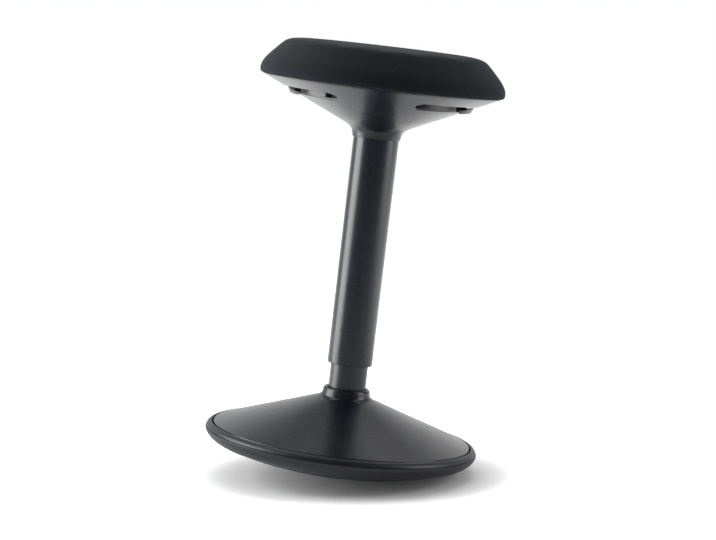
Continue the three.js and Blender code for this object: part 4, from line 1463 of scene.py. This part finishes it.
    def build(self, workshop: Workshop) -> None:
        """Builds the pad and sets it on the seat.

        Args:
            workshop: Gives the material.
        """
        shape, held_from = self.blank()
        pad = shape.build("seat_pad")
        self.swollen(pad, held_from)
        smoother = pad.modifiers.new("smooth_cloth", "SUBSURF")
        smoother.levels = smoother.render_levels = 1
        workshop.place(pad, CLOTH, "seat_cloth", "seat_group", "seat_foam", "seat_fabric")


@dataclass
class PhotoCamera:
    """The camera that saw the stool: a long lens, a little above it, rolled as the stool leans."""

    frame_px: tuple[int, int] = (716, 540)
    distance_mm: float = 3100.0
    scale_mm_per_px: float = 1.33
    # The pixel at which the axis shows at this level.
    aim_level_mm: float = 163.0
    aim_px: Point = (351.25, 350.0)
    lean_deg: float = 6.7
    look_down_deg: float = 6.55
    sensor_mm: float = 36.0
    clip_m: Point = (0.1, 60.0)

    def basis(self) -> Matrix:
        """Works out how the camera is held.

        Returns:
            Its right, down and forward directions as rows in the stool's frame.
        """
        lean, tilt = math.radians(self.lean_deg), math.radians(self.look_down_deg)
        flat = math.cos(tilt)
        axis = Vector((math.sin(lean) * flat, -math.cos(lean) * flat, -math.sin(tilt)))
        side = -axis.cross(Vector((0, 0, 1))).normalized()
        return Matrix((side, axis.cross(side), axis)).transposed()

    def build(self) -> None:
        """Makes the camera and sets it as the scene's."""
        rows = self.basis()
        step = self.scale_mm_per_px * MM
        offsets = [(aim - size / 2) * step for aim, size in zip(self.aim_px, self.frame_px)]
        aim = Vector((*offsets, self.distance_mm * MM))
        place = Vector((0, 0, self.aim_level_mm * MM)) - rows.transposed() @ aim
        right, down, forward = rows
        turn = Matrix((right, -down, -forward)).transposed()
        data = bpy.data.cameras.new("photo_camera")
        data.sensor_width = self.sensor_mm
        data.lens = self.sensor_mm * self.distance_mm / self.scale_mm_per_px / self.frame_px[0]
        data.clip_start, data.clip_end = self.clip_m
        camera = bpy.data.objects.new("photo_camera", data)
        camera.matrix_world = Matrix.Translation(place) @ turn.to_4x4()
        bpy.context.scene.collection.objects.link(camera)
        bpy.context.scene.camera = camera

    def true_up(self) -> Vector:
        """Works out which way is up in the room.

        Returns:
            A unit vector in the stool's frame.
        """
        tilt = math.radians(self.look_down_deg)
        up = self.basis().transposed() @ Vector((0, -math.cos(tilt), -math.sin(tilt)))
        return up.normalized()

    def toward(self, degrees: float) -> Vector:
        """Gives a level direction in the room.

        Args:
            degrees: Turn from the camera's side, positive to the camera's right.

        Returns:
            A unit vector in the stool's frame.
        """
        rows, up = self.basis(), self.true_up()
        right = (rows[0] - rows[0].dot(up) * up).normalized()
        near = right.cross(up)
        if near.dot(rows[2]) > 0:
            near = -near
        turn = math.radians(degrees)
        return math.cos(turn) * near + math.sin(turn) * right


@dataclass(frozen=True)
class SoftBox:
    """A rectangular lamp in the room."""

    name: str
    # Turn from the camera's side, positive to its right, level distance and height.
    degrees: float
    away_m: float
    high_m: float
    size_m: Point
    watts: float


@dataclass
class Studio:
    """White sweep, soft boxes to the left and right, and a dim side behind the camera."""

    camera: PhotoCamera
    base: RollingBase
    floor_size_m: float = 9.0
    # The floor starts to glow at the near end of a reach and is white at its far end. What the
    # lens sees is dark only in the shadow, whose middle is shifted this way and glows this much.
    shadow_reach_m: Point = (0.13, 0.3)
    shadow_shift_mm: float = -44.0
    glow_near: float = 0.02
    # What the stool mirrors is white further out, and only behind it.
    mirrored_reach_m: Point = (0.4, 0.9)
    sweep_front_m: Point = (-0.3, 0.1)
    # The room is white where the lens looks, dim behind it and greyer overhead.
    room_reach: Point = (0.3, 0.95)
    room_dim: float = 0.03
    ceiling_reach: Point = (0.5, 0.75)
    ceiling: float = 0.2
    lamp_aim_m: float = 0.3
    lamps: tuple[SoftBox, ...] = (
        SoftBox("left_box", -88, 1.7, 0.75, (1.2, 1.5), 42.0),
        SoftBox("right_box", 80, 1.9, 0.8, (1.1, 1.5), 17.0),
        SoftBox("top_box", 170, 0.5, 2.1, (2.0, 1.6), 18.0),
    )

    def build(self) -> None:
        """Makes the floor where the leaning dome touches it, the lamps and the world."""
        up = self.camera.true_up()
        centre = Vector((0, 0, self.base.dome_centre() * MM))
        touch = centre - up * self.base.dome_radius * MM
        self.make_floor(touch, up)
        self.make_world(up)
        for box in self.lamps:
            self.hang(box, touch, up)

    def make_floor(self, touch: Vector, up: Vector) -> None:
        """Lays the white floor under the stool.

        Args:
            touch: A point on the floor.
            up: The floor's normal.
        """
        material, add = new_material("white_paper_sweep")
        seen = add("ShaderNodeLightPath").outputs
        place = add("ShaderNodeTexCoord").outputs["Object"]
        middle = {0: place, 1: (self.shadow_shift_mm * MM, 0.0, 0.0)}
        away = add("ShaderNodeVectorMath", middle, operation="DISTANCE").outputs["Value"]
        along = add("ShaderNodeSeparateXYZ", {"Vector": place}).outputs["Y"]
        shadow = {**span("From", self.shadow_reach_m), **span("To", (self.glow_near, 1.0))}
        level, behind, sweep = (
            add("ShaderNodeMapRange", {"Value": value, **reach}, interpolation_type="SMOOTHSTEP")
            for value, reach in (
                (away, shadow),
                (along, span("From", self.sweep_front_m)),
                (away, span("From", self.mirrored_reach_m)),
            )
        )
        mirrored = add("ShaderNodeMath", {0: behind, 1: sweep}, operation="MULTIPLY")
        looked_at = {0: seen["Is Camera Ray"], 1: level}
        reflected = {0: seen["Is Glossy Ray"], 1: mirrored}
        shown = add("ShaderNodeMath", looked_at, operation="MULTIPLY")
        glow = add("ShaderNodeMath", {**reflected, 2: shown}, operation="MULTIPLY_ADD")
        shader = add(
            "ShaderNodeBsdfPrincipled",
            {
                "Base Color": linear("f4f4f4"),
                "Roughness": 1.0,
                "Specular IOR Level": 0.0,
                "Emission Color": (1, 1, 1, 1),
                "Emission Strength": glow,
            },
        )
        add("ShaderNodeOutputMaterial", {"Surface": shader})
        half = self.floor_size_m / 2
        mesh = bpy.data.meshes.new("studio_floor")
        corners = [(-half, -half, 0), (half, -half, 0), (half, half, 0), (-half, half, 0)]
        mesh.from_pydata(corners, [], [(0, 1, 2, 3)])
        mesh.materials.append(material)
        floor = bpy.data.objects.new("studio_floor", mesh)
        turn = Vector((0, 0, 1)).rotation_difference(up).to_matrix().to_4x4()
        floor.matrix_world = Matrix.Translation(touch) @ turn
        bpy.context.scene.collection.objects.link(floor)

    def make_world(self, up: Vector) -> None:
        """Sets the room's light. Camera rays see plain white.

        Args:
            up: The direction that is up in the room.
        """
        world = bpy.data.worlds.new("studio")
        world.use_nodes = True
        bpy.context.scene.world = world
        world.node_tree.nodes.clear()
        add = partial(add_node, world.node_tree)
        ray = add("ShaderNodeTexCoord").outputs["Generated"]
        ahead, overhead = (
            add("ShaderNodeVectorMath", {0: ray, 1: tuple(way)}, operation="DOT_PRODUCT")
            for way in (-self.camera.toward(0), up)
        )
        front = {**span("From", self.room_reach), **span("To", (self.room_dim, 1.0))}
        level = add("ShaderNodeMapRange", {"Value": ahead.outputs["Value"], **front})
        above = {**span("From", self.ceiling_reach), **span("To", (1.0, self.ceiling))}
        taken = {"Value": overhead.outputs["Value"], **above}
        roof = add("ShaderNodeMapRange", taken, interpolation_type="SMOOTHSTEP")
        room = add("ShaderNodeMath", {0: level, 1: roof}, operation="MULTIPLY")
        path = add("ShaderNodeLightPath").outputs["Is Camera Ray"]
        strength = add("ShaderNodeMix", {0: path, 2: room, 3: 1.0}, data_type="FLOAT")
        light = add("ShaderNodeBackground", {"Color": (1, 1, 1, 1), "Strength": strength})
        add("ShaderNodeOutputWorld", {"Surface": light})

    def hang(self, box: SoftBox, touch: Vector, up: Vector) -> None:
        """Hangs one soft box, aimed at the middle of the stool.

        Args:
            box: The soft box.
            touch: The point of the floor that it is placed from.
            up: The direction that is up in the room.
        """
        data = bpy.data.lights.new(box.name, "AREA")
        data.shape = "RECTANGLE"
        data.size, data.size_y = box.size_m
        data.energy = box.watts
        lamp = bpy.data.objects.new(box.name, data)
        lamp.location = touch + self.camera.toward(box.degrees) * box.away_m + up * box.high_m
        aim = Vector((0, 0, self.lamp_aim_m)) - lamp.location
        lamp.rotation_euler = aim.to_track_quat("-Z", "Y").to_euler()
        bpy.context.scene.collection.objects.link(lamp)


def main() -> None:
    """Builds the studio and dresses the stool."""
    logging.basicConfig(level=logging.INFO, format="%(name)s %(message)s")
    bpy.context.scene.view_settings.view_transform = "Standard"
    camera, base = PhotoCamera(), RollingBase()
    camera.build()
    Studio(camera, base).build()
    workshop = Workshop()
    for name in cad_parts:
        workshop.dress_node(name)
    LOG.info("dressed %d packed pieces", len(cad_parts))
    for part in (base, Column(), UnderSeat(), SeatPad()):
        part.build(workshop)


if __name__ == "__main__":
    main()
